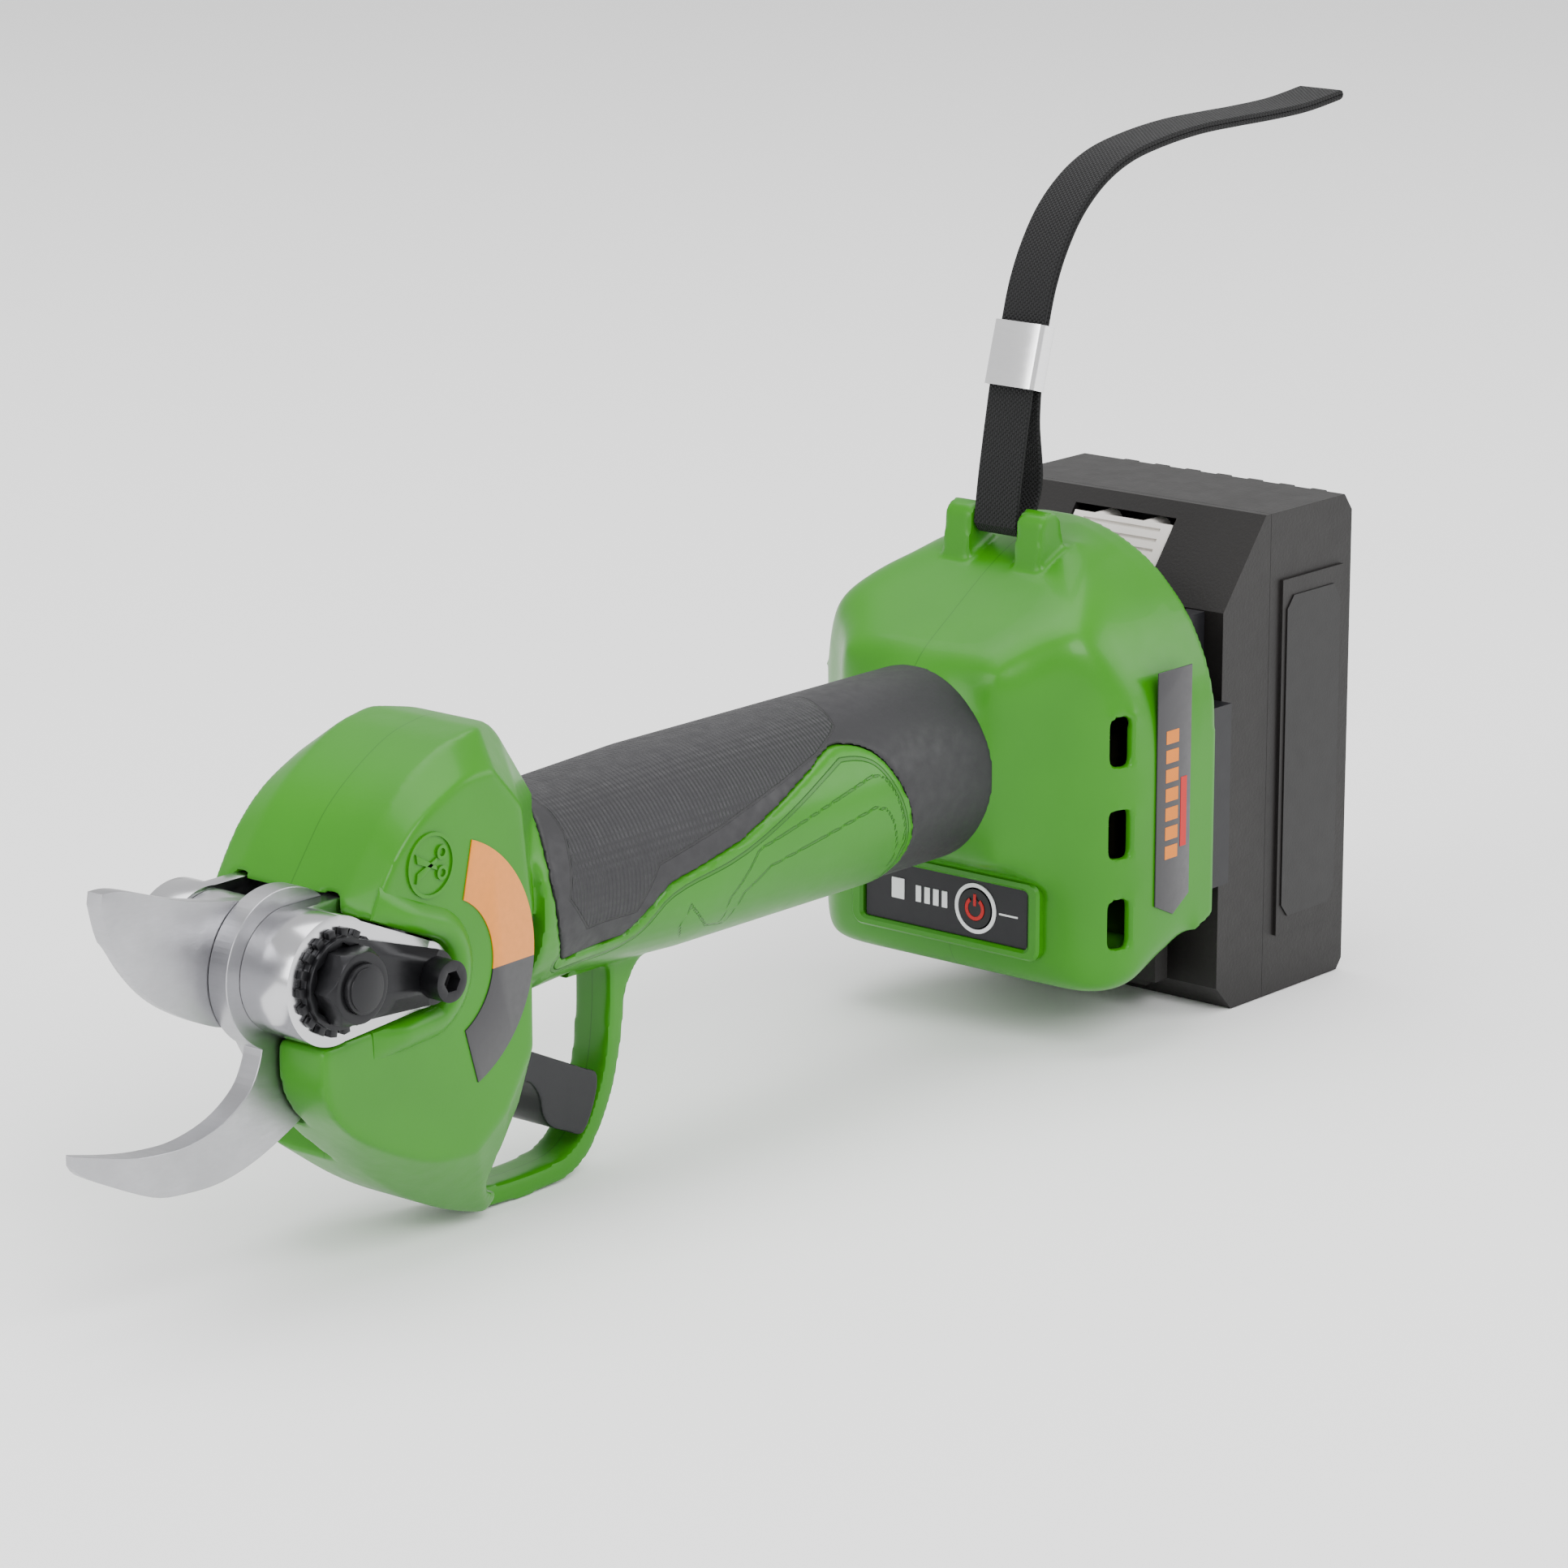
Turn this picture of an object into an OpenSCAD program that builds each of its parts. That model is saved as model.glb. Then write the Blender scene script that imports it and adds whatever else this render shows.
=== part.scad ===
// Battery electric pruner. Millimetres. +Z up, blades point to -X, floor at z = 0.

/* [Placement] */
// Height of the handle axis above the floor
axis_height = 66; // [60:0.5:75]
// Distance from the grip's rear ring to the middle of the tool
axis_shift = 73.2; // [60:0.1:95]

/* [Handle] */
// Radius of the handle
grip_r = 22; // [20:0.1:24]
// Thickness of the rubber grips
grip_t = 1.6; // [1.2:0.1:2.4]
// Half width of the head across its flat sides
head_w = 22; // [20:0.5:24]
// Half width of the flat on top of the head
hump_w = 14.5; // [10:0.5:18]
// Half width of the finger guard
guard_w = 5; // [4:0.5:7]

/* [Housing] */
// Half width of the rear housing
house_w = 44; // [40:0.5:46]
// Wall of the moulded shells
wall = 2.4; // [2:0.1:3]
// Rear face of the housing
house_x = 53; // [50:0.5:56]

/* [Blades] */
// Distance from the grip's rear ring forward to the blade pivot
pivot_dist = 207; // [200:0.5:215]
// Thickness of the fixed hook blade
hook_t = 5; // [4:0.1:6]
// Thickness of the moving blade
blade_t = 4; // [3:0.1:5]
// Radius of the pivot bolt
bolt_r = 5; // [4:0.1:6]

/* [Gears] */
// Module of the planetary teeth
gear_m = 0.6; // [0.5:0.05:0.6]
// Teeth on each sun
sun_z = 12; // [12:6:12]
// Module of the bevel teeth at their outer end
bevel_m = 1.5; // [1.2:0.1:1.6]
// Teeth on the bevel pinion
pinion_z = 9; // [9:1:9]

/* [Battery] */
// Width of the battery pack
pack_w = 75; // [72:0.5:78]
// Depth of the battery pack behind its front face
pack_d = 52; // [50:0.5:54]
// Distance from the housing to the pack's shoulder
pack_gap = 9.6; // [9.6:0.1:12]
// Height of the pack's upper end above the handle axis
pack_top = 48; // [46:0.5:50]

/* [Strap] */
// Width of the wrist strap
strap_w = 12; // [10:0.5:15]
// Thickness of one ply of the strap
strap_t = 1.2; // [1:0.1:1.6]

/* [Hidden] */
$fn = 96;
px = -pivot_dist;
lock = [-181.6, -4.4];
hook_y = -9;
blade_y = hook_y + hook_t + 0.1;
hub_y = blade_y + blade_t + 0.05;
planet_z = 18;
ring_z = 48;
orbit_r = gear_m * (sun_z + planet_z) / 2;
bevel_r = bevel_m * pinion_z / 2;
pack_low = -axis_height;
pack_x = 54 + pack_d;
trig_p = [-149, -29];

// ---------- shared helpers ----------

function cr(a, b, c, d, t) = 0.5 * (2 * b + (c - a) * t + (2 * a - 5 * b + 4 * c - d) * t * t
  + (3 * b - a - 3 * c + d) * t * t * t);

function spline(p, n = 5) = concat([for (i = [0:len(p) - 2], k = [0:n - 1])
  cr(p[max(i - 1, 0)], p[i], p[i + 1], p[min(i + 2, len(p) - 1)], k / n)], [p[len(p) - 1]]);

module place() translate([axis_shift, 0, axis_height]) children();

module along_x(x0, x1) translate([x0, 0, 0]) rotate([90, 0, 90]) linear_extrude(x1 - x0) children();

module along_y(y0, y1) translate([0, y1, 0]) rotate([90, 0, 0]) linear_extrude(y1 - y0) children();

module along_z(z0, z1) translate([0, 0, z0]) linear_extrude(z1 - z0) children();

module rod_x(x0, x1, r, y = 0, z = 0) translate([x0, y, z]) rotate([0, 90, 0]) cylinder(h = x1 - x0, r = r);

module rod_y(y0, y1, r, x = 0, z = 0) translate([x, y0, z]) rotate([-90, 0, 0]) cylinder(h = y1 - y0, r = r);

module rod_z(z0, z1, r, x = 0, y = 0) translate([x, y, z0]) cylinder(h = z1 - z0, r = r);

module block(a, b) translate(a) cube(b - a);

module cap(a, b, r) {
  d = b - a;
  n = norm(d);
  translate(a) circle(r = r);
  translate(b) circle(r = r);
  translate(a) rotate(atan2(d[1], d[0])) translate([0, -r]) square([n, 2 * r]);
}

// ---------- outer shape of the moulded body ----------

hump_top = concat([[-190, -4], [-197.2, 11.4]], spline([[-197, 12.4], [-193, 17.8], [-186.2, 26.4],
  [-177.3, 33.2], [-167.2, 38.4], [-157.5, 40.2]]), [[-157.5, 0]]);
hump_back = concat([[-160, 0]], spline([[-158, 40.2], [-151, 39.4], [-146.5, 36.6], [-143, 31.5],
  [-139.5, 25.5], [-135.5, 21]]), [[-135.5, 0]]);
hump_side = concat([[-190, -6], [-195.8, 8.7]], spline([[-195.5, 11], [-190, 19.5], [-183.3, 25.9],
  [-176.2, 29.8], [-168.7, 32.6], [-161, 32.8]]), [[-153, 24], [-150, 0]]);
belly_mid = concat(spline([[-206, -22], [-205.5, -29], [-200, -35.5], [-190.3, -43.8], [-180.5, -51.3],
  [-170.2, -57.4], [-160, -61.8], [-151, -64.4]]), [[-148, -62], [-151, -40], [-152, -20]]);
belly_side = concat(spline([[-208.5, -8], [-210.2, -16], [-209.4, -24], [-204, -31.5], [-192, -38.5],
  [-179, -43.5], [-167, -44.5]]), [[-158, -38], [-150, -26], [-150, -8]]);
guard_out = concat([[-158, -40]], spline([[-160, -62], [-151.6, -64.6], [-142, -65.8], [-131.8, -66],
  [-122, -65.2], [-115.6, -62.2], [-110.8, -56.4], [-107, -49.2], [-104, -38.2], [-103, -30],
  [-100, -24.6], [-95, -20.5]]), [[-100, -12], [-150, -12]]);
guard_in = concat(spline([[-108, -22], [-108, -30], [-109.3, -42], [-112.4, -50.5], [-116.2, -56.6],
  [-121.4, -60.2], [-128, -61.3], [-140, -61.4], [-149, -60.3], [-154.4, -57.5], [-155.6, -53.5],
  [-154, -47], [-150, -40.5], [-143.6, -33]]), [[-130, -22]]);
panel_area = concat([[-160, -60], [-150, -40], [-136.5, -12.4], [-118, -11.2], [-107.3, -2.1],
  [-84.3, 3]], spline([[-54.2, 13.6], [-47.1, 15.1], [-38.1, 12.7], [-32.2, 5.5], [-27.4, -5.4],
  [-26.6, -13], [-28, -24]]), [[-29, -60]]);
rubber_area = concat([[0, -30], [0, 32], [-131, 32]], spline([[-133.5, 24], [-138.5, 17.5],
  [-142, 11], [-142.8, 4.5], [-141, -4], [-136.5, -12.4]]), [[-160, -60]]);
house_top = spline([[-4, 22.2], [3, 25.6], [12, 31.2], [24, 38.8], [34, 43.8], [44, 46.9], [53, 48.4]]);
house_plan = spline([[-4, 21.6], [1, 23.2], [6, 26.2], [10.5, 31], [14.5, 37], [19.5, 41.6], [27, 43.7],
  [36, 44], [53, 44]]);

module handle(t) rotate([0, 90, 0]) rotate_extrude() polygon([[0, -146], [grip_r - t, -146],
  [grip_r - 1.4 - t, -126], [grip_r - t, -92], [grip_r - t, 0], [0, 0]]);

module head_solid() {
  hull() {
    along_y(-hump_w, hump_w) polygon(hump_top);
    along_y(-9, 9) polygon(hump_back);
    along_y(-head_w, head_w) polygon(hump_side);
  }
  difference() {
    hull() {
      along_y(-9, 9) polygon(belly_mid);
      along_y(-head_w, head_w) polygon(belly_side);
    }
    along_y(-3, 30) polygon([[-216, -7.5], [-193, -7.5], [-189.5, -20], [-187.5, -31], [-186, -40],
      [-191, -48], [-216, -48]]);
  }
  along_y(-head_w, head_w) polygon([[-192, -9], [-192, 5], [-150, 5], [-150, -12]]);
}

module inset(t) {
  if (t == 0) children();
  else offset(delta = -t) children();
}

module housing(t) {
  r = house_w - t;
  intersection() {
    along_x(-5, house_x + (t > 0 ? 1 : 0)) union() {
      translate([0, 4.4]) circle(r = r);
      translate([-r, -46]) square([2 * r, 50.4]);
      translate([-r + 6, -52 + t]) square([2 * r - 12, 30]);
      for (s = [-1, 1]) translate([s * (r - 6), -46 + t]) circle(r = 6);
    }
    along_y(-50, 50) inset(t) polygon(concat(house_top, [[60, 48.4], [60, -35], [32, -48],
      [26.5, -52.6], [15, -52.2], [12.4, -46], [12.2, -28], [9.5, -24.8], [4, -22.6], [-4, -21.8]]));
    along_z(-60, 60) inset(t) polygon(concat(house_plan, [[60, 44], [60, -44]],
      [for (i = [len(house_plan) - 1:-1:0]) [house_plan[i][0], -house_plan[i][1]]]));
  }
}

module lug() {
  for (s = [-1, 1]) along_y(s * 10.15 - 3.75, s * 10.15 + 3.75) {
    polygon([[25.6, 36], [27.2, 49.5], [34.4, 49.5], [36.6, 40]]);
    translate([30.8, 49.6]) circle(r = 3.6);
  }
}

module boss_outline(g) {
  translate([px, 0]) circle(r = 13 + g);
  cap([px + 2, -1], lock, 6.8 + g);
  polygon([[px + 3, -12.7 - g], [px + 2, 12.9 + g], [lock[0] + 1.5, lock[1] + 6.7 + g],
    [lock[0] - 1.5, lock[1] - 6.7 - g]]);
}

// screw axis and half length of its post
screw_at = [[-161, 30.5, 16], [-172, -45.5, 14], [33, 36, 25], [29, -42.5, 41]];

module shell_solid() {
  difference() {
    union() {
      head_solid();
      handle(0.02);
      intersection() {
        handle(-0.5);
        along_y(-30, 30) polygon(panel_area);
      }
      along_y(-guard_w, guard_w) difference() {
        polygon(guard_out);
        polygon(guard_in);
      }
      housing(0);
      lug();
    }
    rod_y(-13, 13, 1.55, 30.8, 49.2);
    // seat of the rubber grips
    intersection() {
      difference() {
        handle(-12);
        handle(grip_t + 0.1);
      }
      along_y(-40, 40) difference() {
        offset(delta = 0.1) polygon(rubber_area);
        polygon(panel_area);
      }
    }
    // finger gap under the head
    along_y(-30, 30) polygon(guard_in);
    // gearbox and motor bores
    rod_x(-176, -115.9, 17.6);
    rod_x(-116, -50, 17.9);
    rod_x(-50.1, 6, 15);
    // room for the gears and blades
    along_y(-18.6, 18.6) polygon([[-186, -37.4], [-186, 21.8], [-178, 28], [-160, 28], [-160, 14],
      [-150, 14], [-150, -17], [-160, -20], [-160, -38], [-176, -41]]);
    along_y(-13.4, 13.4) polygon([[-200, -30], [-207, -16], [-210, 12], [-196, 12], [-187, 21],
      [-185.9, 21.9], [-185.9, -37.4], [-190, -36]]);
    along_y(-9.4, 13) polygon([[-215, -36.5], [-200, -32], [-196, -20], [-196, 12], [-220, 12]]);
    rod_y(-9.4, -3.4, 16.9, px, 0);
    along_y(-13.5, -8.7) offset(delta = 0.35) ear_plate();
    along_y(12, 16.4) offset(delta = 0.35) ear_plate();
    // sweep of the sector, kept inside the front wall
    intersection() {
      rod_y(4, 12.9, 28.1, px, 0);
      along_y(0, 14) polygon([[px - 14, -40], [px - 14, -6], [px, 0], [px + 26, 30.4], [px + 60, 30.4],
        [px + 60, -60]]);
    }
    along_y(-40, -2) boss_outline(0.5);
    rod_y(2, 40, 13.5, px, 0);
    // trigger slot
    along_y(-7.2, 7.2) polygon([[-158, -46], [-157, -24], [-151, -16.5], [-138, -16.5], [-128, -17.7],
      [-118, -17.5], [-128, -30], [-142, -36], [-150, -46]]);
    rod_y(-9.7, 9.7, 2.05, trig_p[0], trig_p[1]);
    rod_y(-9.2, 9.2, 4, trig_p[0], trig_p[1]);
    // housing cavity and rear mouth
    intersection() {
      housing(wall);
      block([6, -50, -60], [80, 50, 60]);
    }
    // vents
    for (s = [-1, 1]) for (z = [7.4, -13.6, -34.3]) along_y(s * 43 - 9, s * 43 + 9)
      translate([20.9, z - 0.4]) offset(r = 1.3) square([2.4, 8.6], center = true);
    // panel recess and button hole
    block([11, -23.2, -42], [13.4, 23.2, -28]);
    rod_x(8, 20, 5.2, -8.5, -34.8);
    // screw holes
    for (p = screw_at) {
      rod_y(-12, 40, 1.55, p[0], p[1]);
      rod_y(9, 60, 2.9, p[0], p[1]);
    }
  }
  // screw posts
  for (p = screw_at) difference() {
    rod_y(-p[2], p[2], 4, p[0], p[1]);
    rod_y(-12, 40, 1.55, p[0], p[1]);
    rod_y(9, 60, 2.9, p[0], p[1]);
  }
}

module left_shell() place() color([0.4, 0.7, 0.2]) intersection() {
  shell_solid();
  block([-260, -60, -80], [80, 0, 80]);
}

module right_shell() place() color([0.4, 0.7, 0.2]) intersection() {
  shell_solid();
  block([-260, 0, -80], [80, 60, 80]);
}

// ---------- rubber grips ----------

module grips() intersection() {
  difference() {
    handle(0);
    handle(grip_t);
  }
  along_y(-40, 40) difference() {
    polygon(rubber_area);
    offset(delta = 0.15) polygon(panel_area);
  }
}

module grip_left() place() color([0.3, 0.3, 0.32]) intersection() {
  grips();
  block([-200, -30, -40], [10, -0.05, 40]);
}

module grip_right() place() color([0.3, 0.3, 0.32]) intersection() {
  grips();
  block([-200, 0.05, -40], [10, 30, 40]);
}

module shell_screws() place() color([0.2, 0.2, 0.2]) for (p = screw_at) difference() {
  union() {
    rod_y(-10, 9.1, 1.5, p[0], p[1]);
    rod_y(9.05, 11.5, 2.8, p[0], p[1]);
  }
  translate([p[0], 10.4, p[1]]) rotate([-90, 0, 0]) cylinder(h = 3, r = 1.3, $fn = 6);
}

// ---------- head: gear case and blades ----------

module ear_plate() {
  translate([px, 0]) circle(r = 12.8);
  polygon([[px, 12.8], [px + 1, -12.8], [-196, -20], [-184, -20], [-172, -13], [-166, -13], [-166, 13],
    [-172, 13]]);
  translate([-190, -17]) circle(r = 5);
}

module gear_case() place() color([0.8, 0.8, 0.82]) difference() {
  union() {
    along_y(-22, -13) boss_outline(0);
    along_y(-13.1, hook_y - 0.1) ear_plate();
    rod_y(12.4, 21.6, 13, px, 0);
    along_y(12.4, 16) ear_plate();
    rod_x(-177.6, -150, 17.4);
    block([-177.6, -17, -13], [-166, 17, 13]);
  }
  rod_y(-30, 30, bolt_r + 1.55, px, 0);
  rod_x(-180, -140, 7.05);
  rod_x(-166, -140, 15.6);
  translate([lock[0], -23, lock[1]]) rotate([-90, 0, 0]) cylinder(h = 11, r = 2.05);
  for (p = [[-193.5, -17], [-185.5, -15.5]]) rod_y(-14, -5, 1.55, p[0], p[1]);
}

hook_shape = concat(spline([[-262, -25.2], [-252, -27.6], [-243.8, -28.9], [-234.5, -29.2],
  [-225, -27], [-218, -22.6], [-214.8, -17.2], [-213.8, -12.2]]), [[-213, -11], [-200, -8]],
  spline([[-181, -9.4], [-180, -15], [-186, -22.5], [-198.9, -28.4], [-205.9, -32.4], [-215.9, -36.6],
  [-225.5, -38.8], [-234.9, -38.8], [-244.4, -37.2], [-258.8, -30.4], [-262, -27.4]]));

module fixed_blade() place() color([0.78, 0.78, 0.8]) difference() {
  union() {
    along_y(hook_y, hook_y + hook_t) polygon(hook_shape);
    rod_y(hook_y, hook_y + hook_t, 16.4, px, 0);
  }
  rod_y(-20, 10, bolt_r + 0.1, px, 0);
  for (p = [[-193.5, -17], [-185.5, -15.5]]) {
    rod_y(-20, 10, 1.6, p[0], p[1]);
    rod_y(hook_y + hook_t - 2.6, 10, 2.9, p[0], p[1]);
  }
}

module fixed_blade_screws() place() color([0.15, 0.15, 0.16]) for (p = [[-193.5, -17], [-185.5, -15.5]])
  difference() {
    union() {
      rod_y(-13, hook_y + hook_t - 2.5, 1.5, p[0], p[1]);
      rod_y(hook_y + hook_t - 2.55, hook_y + hook_t - 0.1, 2.8, p[0], p[1]);
    }
    translate([p[0], hook_y + hook_t - 1.5, p[1]]) rotate([-90, 0, 0]) cylinder(h = 3, r = 1.4, $fn = 6);
  }

blade_shape = concat(spline([[-250.4, 23.4], [-244.7, 22.8], [-231.8, 18.4], [-224.3, 16.4],
  [-214.9, 14.6], [-207, 13]]), spline([[-200, 11.4], [-195.5, 6], [-195, -2], [-198, -9.6],
  [-204, -12.8]]), spline([[-213.7, -10.8], [-221.5, -9.4], [-230.7, -5.2], [-238.1, -0.3],
  [-244.3, 6.3], [-248.7, 13.6], [-250.8, 21]]));

module moving_blade() place() color([0.75, 0.75, 0.77]) difference() {
  along_y(blade_y, blade_y + blade_t) polygon(blade_shape);
  rod_y(-10, 10, bolt_r + 1.55, px, 0);
  for (a = [30, -60]) rod_y(-10, 10, 1.6, px + 9.3 * cos(a), 9.3 * sin(a));
  // hollow grind along the cutting edge
  hull() for (p = [[-252, 14], [-246.4, 4.4], [-239.4, -2.4], [-231, -7.6], [-222, -11.4]])
    translate([p[0], blade_y + blade_t + 0.6, p[1]]) sphere(r = 1.6, $fn = 24);
}

// ---------- bevel drive ----------

module sector_gear() place() color([0.5, 0.5, 0.52]) translate([px, 0, 0]) difference() {
  union() {
    rod_y(hub_y, 12.2, 12.2);
    // toothed rim: each tooth tapers to the pivot centre
    intersection() {
      for (i = [-5:0]) rotate([0, -10 * i + 5, 0]) rotate([0, 0, atan(0.25)]) translate([27.8, 0, 0])
        rotate([0, -90, 0]) linear_extrude(height = 7.8, scale = 20 / 27.8)
          polygon([[-1.15, 2.4], [-0.52, -0.9], [0.52, -0.9], [1.15, 2.4]]);
      rod_y(-2, 12, 27.6);
    }
    intersection() {
      rotate([-90, 0, 0]) rotate_extrude() polygon([[9, 6.2], [19, 6.2], [27.4, 8.2], [27.4, 11.4],
        [9, 11.4]]);
      along_y(-20, 20) polygon([[-4, 0.1], [60, -2.3], [60, -60], [28, -60], [-2, -6]]);
    }
  }
  rod_y(-20, 20, bolt_r + 1.55);
  for (a = [30, -60]) rod_y(-1, 6, 1.55, 9.3 * cos(a), 9.3 * sin(a));
}

module sector_screws() place() color([0.15, 0.15, 0.16]) for (a = [30, -60])
  rod_y(blade_y + 0.1, hub_y + 5.4, 1.5, px + 9.3 * cos(a), 9.3 * sin(a));

module gear2d(n, rp, m, grow = 0) {
  p = PI * m;
  circle(r = rp - 0.95 * m);
  for (i = [0:n - 1]) rotate(i * 360 / n) polygon([[rp - m, -0.27 * p], [rp + 0.6 * m, -0.11 * p],
    [rp + 0.6 * m, 0.11 * p], [rp - m, 0.27 * p]]);
}

module bevel_pinion() place() color([0.55, 0.55, 0.58]) {
  translate([px, 0, 0]) rotate([0, 90, 0]) intersection() {
    translate([0, 0, 27]) mirror([0, 0, 1]) linear_extrude(height = 7, scale = 20 / 27) rotate(90)
      gear2d(pinion_z, bevel_r, bevel_m);
    translate([0, 0, 18]) cylinder(h = 12, r = 9);
  }
  rod_x(px + 26.9, -150.5, 4);
  rod_x(-152.5, -150.4, 12.6);
  for (k = [0:2]) rotate([120 * k, 0, 0]) rod_x(-150.5, -139.2, 1.9, orbit_r, 0);
}

module pinion_bearing() place() color([0.6, 0.6, 0.62]) difference() {
  rod_x(-176, -167, 7);
  rod_x(-180, -160, 4.04);
}

// ---------- planetary gearbox ----------

module planet(x0, x1, k) rotate([120 * k, 0, 0]) translate([x0, orbit_r, 0]) rotate([90, 0, 90])
  linear_extrude(x1 - x0) difference() {
    rotate(10) gear2d(planet_z, gear_m * planet_z / 2, gear_m);
    circle(r = 1.96);
  }

module stage2_planet_a() place() color([0.6, 0.6, 0.62]) planet(-150, -140, 0);

module stage2_planet_b() place() color([0.6, 0.6, 0.62]) planet(-150, -140, 1);

module stage2_planet_c() place() color([0.6, 0.6, 0.62]) planet(-150, -140, 2);

module stage1_planet_a() place() color([0.6, 0.6, 0.62]) planet(-133, -123, 0);

module stage1_planet_b() place() color([0.6, 0.6, 0.62]) planet(-133, -123, 1);

module stage1_planet_c() place() color([0.6, 0.6, 0.62]) planet(-133, -123, 2);

module ring_gear() place() color([0.45, 0.45, 0.47]) along_x(-149.9, -116) difference() {
  circle(r = 17.4);
  rp = gear_m * ring_z / 2;
  p = PI * gear_m;
  circle(r = rp - 0.6 * gear_m);
  for (i = [0:ring_z - 1]) rotate((i + 0.5) * 360 / ring_z) polygon([[rp - 0.8 * gear_m, -0.39 * p],
    [rp + gear_m, -0.23 * p], [rp + gear_m, 0.23 * p], [rp - 0.8 * gear_m, 0.39 * p]]);
}

module stage1_carrier() place() color([0.5, 0.5, 0.53]) {
  along_x(-149, -135.9) gear2d(sun_z, gear_m * sun_z / 2, gear_m);
  rod_x(-136, -133.6, 12.6);
  for (k = [0:2]) rotate([120 * k, 0, 0]) rod_x(-133.7, -122.4, 1.9, orbit_r, 0);
}

// ---------- motor ----------

module rotor_shaft() place() color([0.7, 0.7, 0.72]) {
  along_x(-132.6, -121) gear2d(sun_z, gear_m * sun_z / 2, gear_m);
  rod_x(-121.1, -54, 2.5);
}

module rotor_core() place() color([0.3, 0.3, 0.33]) difference() {
  rod_x(-100, -70, 9.6);
  rod_x(-101, -69, 2.52);
}

module stator() place() color([0.6, 0.35, 0.2]) along_x(-101, -69) difference() {
  circle(r = 16);
  circle(r = 10);
  for (i = [0:8]) rotate(i * 40) translate([12.2, -1.1]) square([2.4, 2.2]);
}

module motor_can() place() color([0.3, 0.3, 0.32]) difference() {
  rod_x(-115.6, -53, 17.6);
  rod_x(-112, -56, 16.1);
  rod_x(-120, -50, 5.05);
}

module motor_bearings() place() color([0.6, 0.6, 0.62]) for (x = [[-115.6, -112], [-57, -53]])
  difference() {
    rod_x(x[0], x[1], 5);
    rod_x(x[0] - 1, x[1] + 1, 2.54);
  }

module motor_leads() place() color([0.8, 0.2, 0.15]) for (k = [-1:1]) {
  rod_x(-52.6, 24, 1.1, 6 * k, -8);
  translate([24, 6 * k, -8]) sphere(r = 1.1);
}

// ---------- electronics ----------

module control_board() place() color([0.1, 0.35, 0.2]) block([25.2, -30, -24], [26.8, 30, 26]);

module power_parts() place() color([0.15, 0.15, 0.17]) {
  for (i = [-2.5:2.5]) block([26.85, i * 9 - 3.2, -20], [29.2, i * 9 + 3.2, -11]);
  rod_x(26.85, 38, 5, -18, 8);
  rod_x(26.85, 38, 5, 18, 8);
  block([26.85, -8, 2], [31, 8, 16]);
}

module led_panel() place() color([0.33, 0.32, 0.34]) difference() {
  block([11.3, -23, -41.8], [12.9, 23, -28.2]);
  rod_x(10, 15, 4.75, -8.5, -34.8);
}

module panel_lights() place() color([0.8, 0.8, 0.82]) {
  for (y = [0.4, 2.8, 5.2, 7.6]) block([11.1, y - 0.8, -35.6], [11.3, y + 0.8, -31.2]);
  block([11.1, 10.6, -35.2], [11.3, 13, -31]);
  difference() {
    rod_x(11.1, 11.3, 5.6, -8.5, -34.8);
    rod_x(11, 12, 4.9, -8.5, -34.8);
  }
  block([11.1, -20, -35], [11.3, -15.4, -34.6]);
}

module power_button() place() color([0.3, 0.3, 0.32]) {
  difference() {
    rod_x(10.9, 15.2, 4.5, -8.5, -34.8);
    difference() {
      rod_x(10, 11.1, 2.9, -8.5, -34.8);
      rod_x(9, 12, 2.1, -8.5, -34.8);
    }
  }
  rod_x(15.1, 16.6, 6, -8.5, -34.8);
}

module battery_shoe() place() color([0.2, 0.2, 0.21]) difference() {
  union() {
    intersection() {
      block([49.4, -50, -40], [52.9, 50, 50]);
      housing(wall + 0.15);
    }
    for (s = [-1, 1]) {
      block([52.8, s * 34.6 - 6.4, -34], [62.6, s * 34.6 + 6.4, 8]);
      block([52.8, s * 30.6 - 2.4, -34], [62.6, s * 30.6 + 2.4, 28]);
      block([58.2, s * 27 - 3, -34], [62.6, s * 27 + 3, 26]);
    }
  }
  for (y = [-14, 14]) block([30, y - 3, -30], [60, y + 3, 0]);
}

module tool_terminals() place() color([0.8, 0.7, 0.3]) for (y = [-14, 14]) {
  block([46, y - 0.5, -28], [62, y + 0.5, -8]);
  block([47, y - 2.9, -29], [49.4, y + 2.9, -1]);
}

// ---------- labels ----------

module head_label() place() color([0.95, 0.75, 0.25]) along_y(-22.3, -22.02) difference() {
  intersection() {
    translate([-177, -5]) circle(r = 26);
    polygon([[-177, -5], [-166.6, 30], [-140, 30], [-140, -40], [-165.6, -40]]);
  }
  translate([-177, -5]) circle(r = 15.4);
}

module housing_labels() place() color([0.35, 0.34, 0.36]) for (s = [-1, 1])
  along_y(s * 44.15 - 0.12, s * 44.15 + 0.12) polygon([[31, 21], [42.6, 21], [42.6, -29], [38.6, -33.4],
    [31, -33.4]]);

// ---------- trigger ----------

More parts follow.
